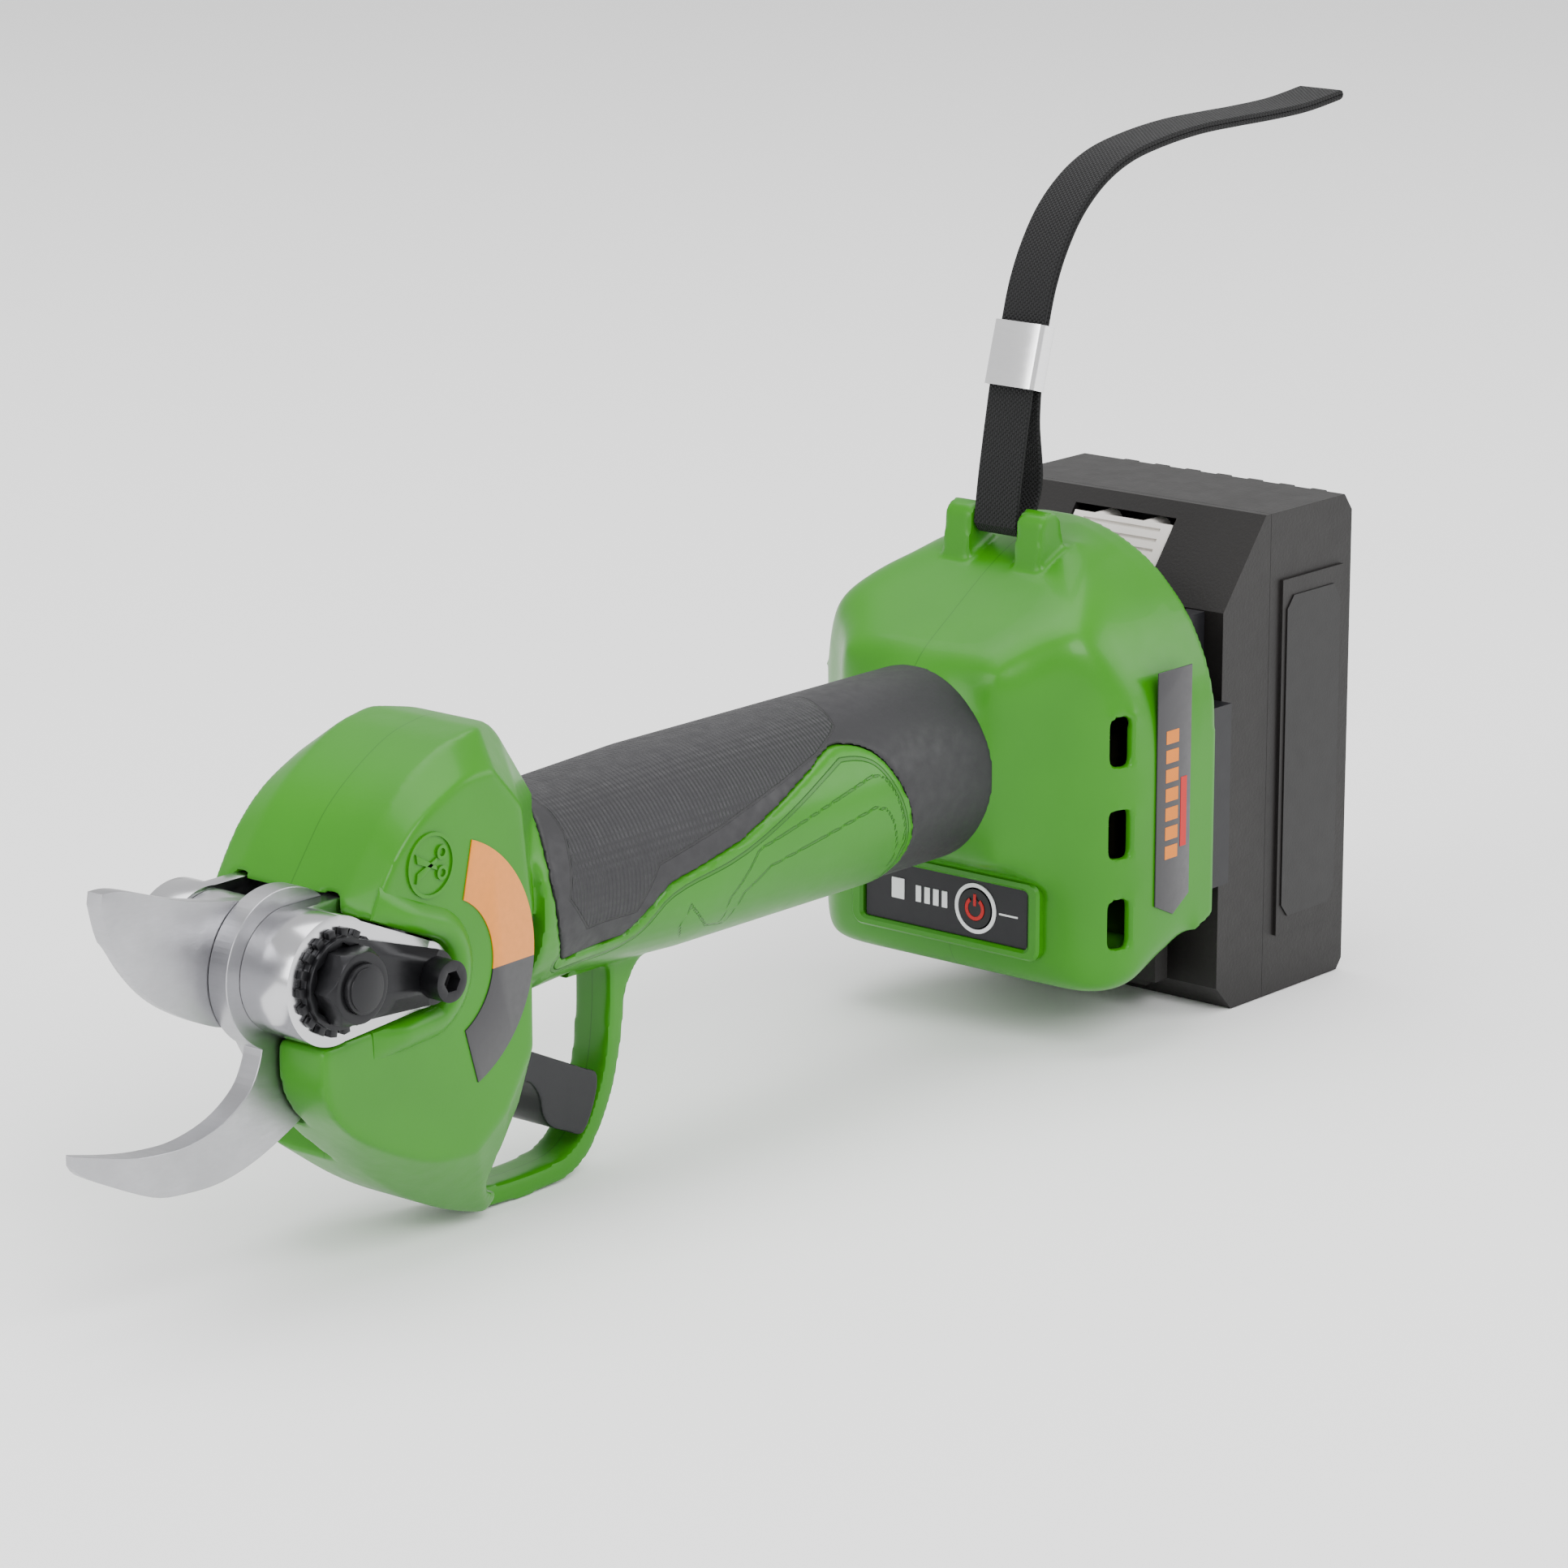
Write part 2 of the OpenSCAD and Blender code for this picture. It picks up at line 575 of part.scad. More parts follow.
module trigger() place() color([0.2, 0.2, 0.22]) difference() {
  union() {
    along_y(-6.4, 6.4) polygon(concat([[-146, -30]], spline([[-137.5, -32.8], [-127.5, -37.4],
      [-118, -41.8], [-113.7, -44.2], [-114.6, -50], [-118.2, -55.9], [-123, -54.4], [-128, -52.2],
      [-130.5, -49], [-131.6, -44.6], [-135, -40.8], [-141, -40.4], [-147.5, -40.2]]),
      [[-151.8, -33]]));
    rod_y(-6.4, 6.4, 4.4, trig_p[0], trig_p[1]);
    along_y(-3, 3) polygon([[-152, -26], [-146, -27], [-141.5, -19.6], [-145.5, -18.4]]);
  }
  rod_y(-20, 20, 2.05, trig_p[0], trig_p[1]);
  for (x = [-140, -136.6, -133.2, -129.8]) rod_y(-4.6, 4.6, 0.5, x, -31.75 - (x + 140) * 0.46);
  rod_y(-2, 5, 1.55, -143.6, -20.6);
}

module trigger_pin() place() color([0.6, 0.6, 0.62]) rod_y(-9.6, 9.6, 2, trig_p[0], trig_p[1]);

module trigger_spring() place() color([0.6, 0.6, 0.62]) for (s = [-1, 1]) difference() {
  rod_y(s * 8 - 1, s * 8 + 1, 3.8, trig_p[0], trig_p[1]);
  rod_y(s * 8 - 2, s * 8 + 2, 2.2, trig_p[0], trig_p[1]);
}

module trigger_magnet() place() color([0.7, 0.7, 0.72]) rod_y(0.4, 3, 1.5, -143.6, -20.6);

module sensor_board() place() color([0.1, 0.35, 0.2]) block([-146, 6, -24], [-138, 7.15, -18.6]);

// ---------- pivot hardware ----------

module pivot_bolt() place() color([0.12, 0.12, 0.13]) difference() {
  union() {
    rod_y(-30.6, 22.2, bolt_r, px, 0);
    rod_y(22, 26, 9.5, px, 0);
    rod_y(-31, -30.5, 4.4, px, 0);
  }
  translate([px, 24, 0]) rotate([-90, 0, 0]) cylinder(h = 5, r = 3.5, $fn = 6);
}

module pivot_bush() place() color([0.75, 0.6, 0.35]) difference() {
  rod_y(-21.9, 21.5, bolt_r + 1.5, px, 0);
  rod_y(-30, 30, bolt_r + 0.05, px, 0);
  rod_y(hook_y - 0.05, blade_y - 0.05, 20, px, 0);
}

module pivot_nut() place() color([0.12, 0.12, 0.13]) difference() {
  intersection() {
    translate([px, -29.6, 0]) rotate([-90, 0, 0]) cylinder(h = 6, r = 8.2, $fn = 6);
    translate([px, -30.2, 0]) rotate([-90, 0, 0]) cylinder(h = 7, r1 = 6.7, r2 = 11);
  }
  rod_y(-32, -22, bolt_r + 0.05, px, 0);
}

module serrated_washer() place() color([0.12, 0.12, 0.13]) along_y(-23.5, -22.05) difference() {
  translate([px, 0]) union() {
    circle(r = 9.4);
    for (i = [0:17]) rotate(i * 20) translate([9, -0.9]) square([1.8, 1.8]);
  }
  translate([px, 0]) circle(r = bolt_r + 0.1);
}

module lock_plate() place() color([0.12, 0.12, 0.13]) along_y(-24.6, -23.55) difference() {
  union() {
    translate(lock) circle(r = 5.6);
    translate([px, 0]) circle(r = 9.2);
    polygon([[px + 4, 8.2], [px + 3, -8.6], [lock[0] - 1.5, lock[1] - 5.4], [lock[0] + 1.5, lock[1] + 5.4]]);
  }
  translate(lock) circle(r = 2.7);
  translate([px, 0]) rotate(30) circle(r = 8.35, $fn = 6);
  translate([px, 0]) rotate(0) circle(r = 8.35, $fn = 6);
}

module lock_screw() place() color([0.12, 0.12, 0.13]) difference() {
  union() {
    rod_y(-24.7, -13.5, 2, lock[0], lock[1]);
    rod_y(-29.4, -24.65, 4.25, lock[0], lock[1]);
  }
  translate([lock[0], -30, lock[1]]) rotate([-90, 0, 0]) cylinder(h = 3.4, r = 2.3, $fn = 6);
}

// ---------- wrist strap ----------

strap_mid = spline([[38, 92.6], [40.8, 101.6], [45, 109.8], [51, 117.4], [59.4, 123.6], [69.4, 127.6],
  [82, 129.8], [96, 131], [110, 131.2], [124, 131.2], [138, 131.6], [151, 133]], 4);

function side(p, i) = let (a = p[max(i - 1, 0)], b = p[min(i + 1, len(p) - 1)], d = (b - a) / norm(b - a))
  [-d[1], d[0]];

module ribbon(p, a, b) polygon(concat([for (i = [0:len(p) - 1]) p[i] + a * side(p, i)],
  [for (i = [len(p) - 1:-1:0]) p[i] + b * side(p, i)]));

module strap_bar() place() color([0.6, 0.6, 0.62]) rod_y(-12.9, 12.9, 1.5, 30.8, 49.2);

module wrist_strap() place() color([0.1, 0.1, 0.11]) along_y(-strap_w / 2, strap_w / 2) difference() {
  union() {
    ribbon(strap_mid, -0.1, strap_t + 0.1);
    ribbon(strap_mid, -strap_t - 0.1, 0.1);
    ribbon(spline([[28.9, 49], [30, 58], [33, 74], [35.2, 84], [38, 92.8]]), -0.1, strap_t + 0.1);
    ribbon(spline([[32.9, 49], [36.6, 58], [35.4, 72], [36.4, 84], [38, 92.8]]), -strap_t - 0.1, 0.1);
    translate([30.8, 49.2]) circle(r = 1.6 + strap_t);
  }
  translate([30.8, 49.2]) circle(r = 1.6);
}

module strap_clip() place() color([0.85, 0.85, 0.87]) difference() {
  translate([36.2, 0, 86]) rotate([0, 16, 0]) block([-2.6, -7, -7], [2.6, 7, 7.6]);
  along_y(-6.1, 6.1) ribbon(spline([[31.8, 68], [34.6, 80], [36.3, 86], [38, 92.6], [40.8, 101.6]]), -1.9, 1.9);
}

// ---------- battery pack ----------

module place_pack() translate([pack_gap, 0, 0]) place() children();

module pack_outline(g) polygon([[54 + g, pack_low + 6 + g], [60, pack_low + g], [pack_x - 4, pack_low + g],
  [pack_x - 2 - g, pack_low + 2.5 + g], [pack_x - 2 - g, pack_top - 4 - g], [pack_x - 5, pack_top - g],
  [70, pack_top - g], [54 + g, 28 - g]]);

module pack_body(g) intersection() {
  along_y(-pack_w / 2 + g, pack_w / 2 - g) pack_outline(g);
  along_x(50, 110) union() {
    square([pack_w - 2 * g - 6, 200], center = true);
    square([pack_w - 2 * g, 200 - 6], center = true);
  }
}

module pack_upper_case() place_pack() color([0.27, 0.26, 0.26]) difference() {
  union() {
    intersection() {
      pack_body(0);
      block([50, -60, -90], [71.9, 60, 90]);
    }
    // rail block that slides into the shoe
    for (s = [-1, 1]) block([46, s * 20 - 3.4, -60], [54.1, s * 20 + 3.4, 27]);
    block([45.2, -23.4, -8], [54.1, 23.4, 26]);
    for (s = [-1, 1]) block([43.6, s * 25.2 - 2.6, -58], [48.2, s * 25.2 + 2.6, 22]);
  }
  intersection() {
    pack_body(2.6);
    block([56, -60, -90], [72, 60, 90]);
  }
  for (y = [-14, 14]) block([40, y - 3.2, -62], [60, y + 3.2, 4]);
  // latch pocket
  block([53.5, -14.4, 29], [80, 14.4, 44.6]);
  block([40, -11.3, 22.2], [64.6, 11.3, 29.1]);
  for (i = [0:3]) translate([62 + 2.2 * i, 18, 36.4 + 2.4 * i]) cube([2, 3.4, 1.6]);
}

module pack_lower_case() place_pack() color([0.27, 0.26, 0.26]) difference() {
  union() {
    intersection() {
      pack_body(0);
      block([72, -60, -90], [120, 60, 90]);
    }
    for (s = [-1, 1]) block([76, s * 37.5 - 0.8, -52], [100, s * 37.5 + 0.8, 32]);
    for (i = [-3:3]) block([pack_x - 8, i * 9 - 2, pack_top - 14], [pack_x, i * 9 + 2, pack_top - 1]);
    // seat of the latch springs
    block([77.4, -12, 38], [79.6, 12, 46]);
  }
  difference() {
    intersection() {
      pack_body(2.6);
      block([71, -60, -90], [pack_x - 4.6, 60, 90]);
    }
    block([77.4, -12, 38], [79.6, 12, 50]);
  }
  for (y = [-32, 32], z = [-52, 30]) rod_x(pack_x - 4.02, pack_x, 2.25, y, z);
}

// middle cell of each row
cell_z = -16.8;

module pack_cells() place_pack() color([0.2, 0.5, 0.7]) for (x = [73.8, 92.2], k = [-2:2])
  rod_y(-32.5, 32.5, 9, x, cell_z + 18.6 * k);

module cell_holder() place_pack() color([0.15, 0.15, 0.16]) for (s = [-1, 1]) difference() {
  block([64.4, s * 24 - 4, -63.3], [101, s * 24 + 4, 29.8]);
  for (x = [73.8, 92.2], k = [-2:2]) rod_y(-40, 40, 9.05, x, cell_z + 18.6 * k);
}

module pack_board() place_pack() color([0.1, 0.35, 0.2]) block([58, -28, -50], [59.6, 28, 20]);

module pack_terminals() place_pack() color([0.8, 0.7, 0.3]) for (y = [-14, 14], s = [-1, 1])
  block([53, y + s * 1.4 - 0.5, -26], [57.9, y + s * 1.4 + 0.5, 0]);

module pack_latch() place_pack() color([0.85, 0.84, 0.83]) difference() {
  union() {
    block([58, -14, 30], [66.5, 14, 44.2]);
    for (y = [-7, 7]) rod_x(66.4, 72, 2.6, y, 40.8);
    block([48.4, -11, 22.6], [56, 11, 28]);
    block([55.9, -11, 22.6], [59, 11, 31]);
  }
  along_y(-20, 20) polygon([[40, 20], [52.4, 29], [57.6, 29.3], [68.4, 46], [40, 46]]);
  for (i = [0:4]) rod_y(-11, 11, 0.5, 60.2 + 1.4 * i, 32.8 + 2.16 * i);
  for (y = [-7, 7]) rod_x(66.4, 80, 1.9, y, 40.8);
}

module latch_springs() place_pack() color([0.6, 0.6, 0.62]) for (y = [-7, 7]) rod_x(71.6, 77.4, 1.6, y, 40.8);

module pack_labels() place_pack() color([0.25, 0.24, 0.25]) for (s = [-1, 1])
  along_y(s * 38.5 - 0.15, s * 38.5 + 0.15) polygon([[80, -48], [96, -48], [98.5, -45], [98.5, 24],
    [96, 28], [80, 28], [77.5, 25], [77.5, -45]]);

module pack_screws() place_pack() color([0.3, 0.3, 0.32]) for (y = [-32, 32], z = [-52, 30])
  rod_x(pack_x - 4, pack_x - 2.1, 2.2, y, z);

left_shell();
right_shell();
grip_left();
grip_right();
shell_screws();
gear_case();
fixed_blade();
fixed_blade_screws();
moving_blade();
sector_gear();
sector_screws();
pivot_bolt();
pivot_bush();
pivot_nut();
serrated_washer();
lock_plate();
lock_screw();
bevel_pinion();
pinion_bearing();
stage2_planet_a();
stage2_planet_b();
stage2_planet_c();
ring_gear();
stage1_carrier();
stage1_planet_a();
stage1_planet_b();
stage1_planet_c();
rotor_shaft();
rotor_core();
stator();
motor_can();
motor_bearings();
motor_leads();
control_board();
power_parts();
led_panel();
panel_lights();
power_button();
battery_shoe();
tool_terminals();
head_label();
housing_labels();
trigger();
trigger_pin();
trigger_spring();
trigger_magnet();
sensor_board();
strap_bar();
wrist_strap();
strap_clip();
pack_upper_case();
pack_lower_case();
pack_cells();
cell_holder();
pack_board();
pack_terminals();
pack_latch();
latch_springs();
pack_labels();
pack_screws();
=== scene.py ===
"""Battery pruner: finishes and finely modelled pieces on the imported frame."""

import logging
import math
from dataclasses import dataclass, field
from enum import Enum
from typing import Dict, Iterable, List, Optional, Sequence, Tuple

import bmesh
import bpy
import numpy as np
from mathutils import Matrix, Vector


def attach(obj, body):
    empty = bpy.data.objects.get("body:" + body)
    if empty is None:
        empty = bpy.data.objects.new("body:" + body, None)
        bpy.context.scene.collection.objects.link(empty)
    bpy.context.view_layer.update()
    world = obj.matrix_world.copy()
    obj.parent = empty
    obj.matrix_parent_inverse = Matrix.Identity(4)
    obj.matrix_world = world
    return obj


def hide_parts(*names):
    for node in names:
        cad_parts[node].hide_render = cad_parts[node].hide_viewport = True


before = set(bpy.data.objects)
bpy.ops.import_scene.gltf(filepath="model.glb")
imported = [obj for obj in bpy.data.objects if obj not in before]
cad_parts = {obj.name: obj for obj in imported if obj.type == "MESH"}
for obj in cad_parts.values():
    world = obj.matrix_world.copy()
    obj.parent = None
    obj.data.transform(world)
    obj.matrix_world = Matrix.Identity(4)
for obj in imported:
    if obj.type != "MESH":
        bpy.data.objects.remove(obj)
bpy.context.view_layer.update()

log = logging.getLogger("pruner")
MM = 0.001
HANDLE_RADIUS = 22.0
HEAD_FLANK = 22.0
HOUSING_FLANK = 44.25
SHARP_ANGLE = math.radians(35)
BEVEL_ANGLE = math.radians(30)
MERGE = 1e-6
FAR_OFF = 0.05
AXLE = Vector((0.0732, 0.0, 0.066))
Flat = Tuple[float, float]
Rgb = Tuple[float, float, float]


class Side(Enum):
    """A side of the parting plane."""

    LEFT = -1
    RIGHT = 1


class Body(Enum):
    """The bodies that pieces ride on."""

    TOOL = "tool"
    BLADE = "blade"
    TRIGGER = "trigger"
    BUTTON = "button"
    BATTERY = "battery"
    LATCH = "latch"


def at(x: float, y: float, z: float) -> Vector:
    """A point given in millimetres from the handle axis, in frame metres."""
    return Vector((x * MM, y * MM, z * MM)) + AXLE


def spline(points: Sequence[Flat], steps: int = 6) -> List[Flat]:
    """Points on a smooth curve through the given ones.

    Args:
        points: corner points of the curve.
        steps: stretches between two corner points.

    Returns:
        The curve's points, ends included.
    """
    out: List[Flat] = []
    last = len(points) - 1
    for i in range(last):
        a, b = points[max(i - 1, 0)], points[i]
        c, d = points[i + 1], points[min(i + 2, last)]
        for k in range(steps):
            t = k / steps
            out.append(
                tuple(
                    0.5 * (2 * b[j] + (c[j] - a[j]) * t + (2 * a[j] - 5 * b[j] + 4 * c[j] - d[j]) * t * t
                           + (3 * b[j] - a[j] - 3 * c[j] + d[j]) * t ** 3)
                    for j in range(2)
                )
            )
    out.append(tuple(points[-1]))
    return out


# ---------------------------------------------------------------- finishes


class Shade:
    """One material's node tree, with short ways to add to it."""

    def __init__(self, name: str) -> None:
        """Starts an empty material with one principled shader."""
        self.material = bpy.data.materials.new(name)
        self.material.use_nodes = True
        self.tree = self.material.node_tree
        self.shader = self.tree.nodes["Principled BSDF"]
        self.coords = self.tree.nodes.new("ShaderNodeTexCoord").outputs["Object"]

    def add(self, kind: str, **settings: object) -> bpy.types.Node:
        """Adds a node and sets its properties."""
        node = self.tree.nodes.new("ShaderNode" + kind)
        for key, value in settings.items():
            setattr(node, key, value)
        return node

    def put(self, socket: bpy.types.NodeSocket, value: object) -> None:
        """Links a socket into another, or sets its plain value."""
        if isinstance(value, bpy.types.NodeSocket):
            self.tree.links.new(value, socket)
        else:
            socket.default_value = value

    def calc(self, how: str, *values: object) -> bpy.types.NodeSocket:
        """A Math node's output."""
        node = self.add("Math", operation=how)
        for i, value in enumerate(values):
            self.put(node.inputs[i], value)
        return node.outputs[0]

    def noise(self, size: float, detail: float = 3.0, rough: float = 0.5,
              stretch: Tuple[float, float, float] = (1, 1, 1)) -> bpy.types.NodeSocket:
        """Makes noise over the object coordinates.

        Args:
            size: feature size in metres.
            detail: layers of finer noise.
            rough: how strong the finer layers are.
            stretch: how much closer the features stand along each axis.

        Returns:
            The noise, 0 to 1.
        """
        spread = self.add("Mapping")
        self.put(spread.inputs["Vector"], self.coords)
        spread.inputs["Scale"].default_value = stretch
        node = self.add("TexNoise")
        self.put(node.inputs["Vector"], spread.outputs[0])
        node.inputs["Scale"].default_value = 1.0 / size
        node.inputs["Detail"].default_value = detail
        node.inputs["Roughness"].default_value = rough
        return node.outputs["Fac"]

    def remap(self, value: object, low: float, high: float, to_low: float = 0.0,
              to_high: float = 1.0, smooth: bool = False) -> bpy.types.NodeSocket:
        """Maps a value from one range to another, clamped.

        Args:
            value: a socket or a number.
            low: start of its range.
            high: end of its range.
            to_low: what the start becomes.
            to_high: what the end becomes.
            smooth: eases in and out.

        Returns:
            The mapped value.
        """
        node = self.add("MapRange", clamp=True)
        if smooth:
            node.interpolation_type = "SMOOTHSTEP"
        for i, v in enumerate((value, low, high, to_low, to_high)):
            self.put(node.inputs[i], v)
        return node.outputs[0]

    def mix(self, share: object, a: object, b: object) -> bpy.types.NodeSocket:
        """Blends two colours.

        Args:
            share: how much of the second, 0 to 1.
            a: the first colour.
            b: the second colour.

        Returns:
            The blend.
        """
        node = self.add("Mix", data_type="RGBA")
        self.put(node.inputs[0], share)
        for socket, value in ((node.inputs[6], a), (node.inputs[7], b)):
            self.put(socket, (*value, 1.0) if isinstance(value, tuple) else value)
        return node.outputs[2]

    def attribute(self, name: str) -> bpy.types.NodeSocket:
        """A mesh attribute's value."""
        return self.add("Attribute", attribute_name=name).outputs["Fac"]

    def place(self) -> bpy.types.Node:
        """The object coordinates split into X, Y and Z."""
        node = self.add("SeparateXYZ")
        self.put(node.inputs[0], self.coords)
        return node

    def bump(self, height: object, depth: float, below: Optional[bpy.types.NodeSocket] = None
             ) -> bpy.types.NodeSocket:
        """Turns a height into bumps.

        Args:
            height: the height, 0 to 1.
            depth: the bumps' depth in metres.
            below: an earlier normal that they stand on.

        Returns:
            The bumped normal.
        """
        node = self.add("Bump")
        node.inputs["Strength"].default_value = 1.0
        node.inputs["Distance"].default_value = depth
        self.put(node.inputs["Height"], height)
        if below is not None:
            self.put(node.inputs["Normal"], below)
        return node.outputs[0]

    def line(self, distance: object, width: float) -> bpy.types.NodeSocket:
        """1 on a line of a width, 0 away from it, from a distance value."""
        return self.remap(self.calc("ABSOLUTE", distance), width * 0.25, width * 0.5, 1.0, 0.0, True)

    def finish(self, colour: object, rough: object, normal: object = None, **fixed: float
               ) -> bpy.types.Material:
        """Wires the shader's inputs.

        Args:
            colour: a colour or a socket.
            rough: roughness, or a socket.
            normal: the bumped normal, if any.
            **fixed: constants for other inputs, by name.

        Returns:
            The finished material.
        """
        shader = self.shader
        self.put(shader.inputs["Base Color"], (*colour, 1.0) if isinstance(colour, tuple) else colour)
        self.put(shader.inputs["Roughness"], rough)
        if normal is not None:
            self.put(shader.inputs["Normal"], normal)
        for key, value in fixed.items():
            shader.inputs[key.replace("_", " ").title().replace("Ior", "IOR")].default_value = value
        return self.material


@dataclass(frozen=True)
class Groove:
    """A line pressed into a moulding along a distance attribute, its colour darkened as painted shade in the
    groove.
    """

    attribute: str
    width: float
    depth: float
    # shade: 1 minus it is the share of painted shade mixed into the groove's colour.
    shade: float = 0.55


@dataclass(frozen=True)
class Moulding:
    """Moulded plastic: colour, gloss, a fine grain and pressed lines with painted shade in them."""

    name: str
    colour: Rgb
    rough: float = 0.4
    grain: float = 0.0006
    grain_depth: float = 0.00001
    mottle: float = 0.06
    coat: float = 0.0
    grooves: Tuple[Groove, ...] = ()
    seam: bool = False

    def material(self) -> bpy.types.Material:
        """Builds the material."""
        s = Shade(self.name)
        wide = s.noise(0.03, 2.0)
        fine = s.noise(self.grain, 2.0)
        dark = tuple(c * (1 - self.mottle * 1.6) for c in self.colour)
        light = tuple(min(c * (1 + self.mottle), 1) for c in self.colour)
        colour = s.mix(s.remap(wide, 0.3, 0.7), dark, light)
        normal = s.bump(fine, self.grain_depth)
        for g in self.grooves:
            mark = s.line(s.attribute(g.attribute), g.width)
            normal = s.bump(s.calc("SUBTRACT", 1.0, mark), g.depth, normal)
            # Painted shade: the colour is darkened along each groove's middle.
            colour = s.mix(s.calc("MULTIPLY", mark, 1 - g.shade), colour,
                           tuple(c * 0.45 for c in self.colour))
        if self.seam:
            mark = s.line(s.place().outputs["Y"], 0.00035)
            colour = s.mix(s.calc("MULTIPLY", mark, 0.55), colour, tuple(c * 0.4 for c in self.colour))
        rough = s.calc("ADD", s.calc("MULTIPLY", s.noise(0.004, 4.0), 0.12), self.rough - 0.06)
        return s.finish(colour, rough, normal, coat_weight=self.coat, specular_ior_level=0.3)


@dataclass(frozen=True)
class Metal:
    """Bare or blackened metal with brushing along one direction."""

    name: str
    colour: Rgb
    rough: float = 0.3
    stretch: Tuple[float, float, float] = (1, 1, 14)
    line: float = 0.004
    depth: float = 0.000012
    stain: float = 0.12
    metallic: float = 1.0

    def material(self) -> bpy.types.Material:
        """Builds the material."""
        s = Shade(self.name)
        brush = s.noise(self.line, 5.0, 0.65, self.stretch)
        cloud = s.noise(0.012, 4.0, 0.6)
        dark = tuple(c * (1 - self.stain) for c in self.colour)
        colour = s.mix(s.remap(cloud, 0.35, 0.7), dark, self.colour)
        colour = s.mix(s.remap(brush, 0.3, 0.75, 0.0, 0.35), colour, tuple(c * 0.8 for c in self.colour))
        rough = s.remap(brush, 0.25, 0.8, self.rough * 0.8, self.rough * 1.25)
        return s.finish(colour, rough, s.bump(brush, self.depth), metallic=self.metallic)


@dataclass(frozen=True)
class GripRubber:
    """Overmoulded rubber: a knurled pad inside a smooth border, with painted highlight on the knurl's crests
    and painted shade in the border's groove.
    """

    name: str = "grip_rubber"
    colour: Rgb = (0.012, 0.0113, 0.014)
    pitch: float = 0.00115

    def material(self) -> bpy.types.Material:
        """Builds the material."""
        s = Shade(self.name)
        uv = s.add("UVMap", uv_map="wrap").outputs[0]
        parts = s.add("SeparateXYZ")
        s.put(parts.inputs[0], uv)
        k = 2 * math.pi / self.pitch
        along = s.calc("SINE", s.calc("MULTIPLY", parts.outputs[0], k))
        around = s.calc("SINE", s.calc("MULTIPLY", parts.outputs[1], k * 0.62))
        knurl = s.calc("ADD", s.calc("MULTIPLY", along, 0.35), s.calc("MULTIPLY", around, 0.15))
        pad = s.remap(s.attribute("pad"), 0.0, 0.0005, 0.0, 1.0, True)
        rim = s.line(s.attribute("pad"), 0.0008)
        grain = s.noise(0.0007, 3.0)
        normal = s.bump(grain, 0.00002)
        normal = s.bump(s.calc("MULTIPLY", knurl, pad), 0.00032, normal)
        normal = s.bump(s.calc("SUBTRACT", 1.0, rim), 0.0003, normal)
        cloud = s.remap(s.noise(0.02, 3.0), 0.3, 0.7)
        colour = s.mix(cloud, tuple(c * 0.86 for c in self.colour), self.colour)
        # Painted highlight: the knurl's crests are lightened.
        crest = s.calc("MULTIPLY", s.remap(knurl, -0.1, 0.45), pad)
        colour = s.mix(s.calc("MULTIPLY", crest, 0.35), colour, tuple(c * 1.9 for c in self.colour))
        # Painted shade: the groove round the pad's border is darkened.
        colour = s.mix(s.calc("MULTIPLY", rim, 0.6), colour, tuple(c * 0.4 for c in self.colour))
        return s.finish(colour, s.remap(s.noise(0.003, 3.0), 0.3, 0.7, 0.5, 0.64), normal)


@dataclass(frozen=True)
class Webbing:
    """Woven nylon: ribs across the band with a warp along it, with painted shade in the weave's gaps and
    painted highlight on its raised threads.
    """

    name: str = "strap_webbing"
    colour: Rgb = (0.0022, 0.0022, 0.0026)
    rib: float = 0.0011

    def material(self) -> bpy.types.Material:
        """Builds the material."""
        s = Shade(self.name)
        parts = s.add("SeparateXYZ")
        s.put(parts.inputs[0], s.add("UVMap", uv_map="weave").outputs[0])
        u, v = parts.outputs[0], parts.outputs[1]
        row = s.calc("MULTIPLY", u, math.pi / self.rib)
        column = s.calc("MULTIPLY", v, math.pi / (self.rib * 0.55))
        weft = s.calc("ABSOLUTE", s.calc("SINE", s.calc("ADD", row, s.calc("MULTIPLY", s.calc(
            "SIGN", s.calc("SINE", column)), math.pi / 4))))
        warp = s.calc("ABSOLUTE", s.calc("SINE", column))
        cloth = s.calc("MULTIPLY", s.calc("POWER", weft, 0.7), s.calc("POWER", warp, 0.5))
        fuzz = s.noise(0.0002, 4.0, 0.7)
        normal = s.bump(fuzz, 0.00005, s.bump(cloth, 0.00035))
        # Painted shade and highlight: the weave's gaps are darkened and its raised threads lightened.
        colour = s.mix(cloth, tuple(c * 0.35 for c in self.colour), tuple(c * 2.4 for c in self.colour))
        return s.finish(colour, s.remap(cloth, 0.0, 1.0, 0.8, 0.55), normal, sheen_weight=0.04,
                        sheen_roughness=0.5, specular_ior_level=0.25)


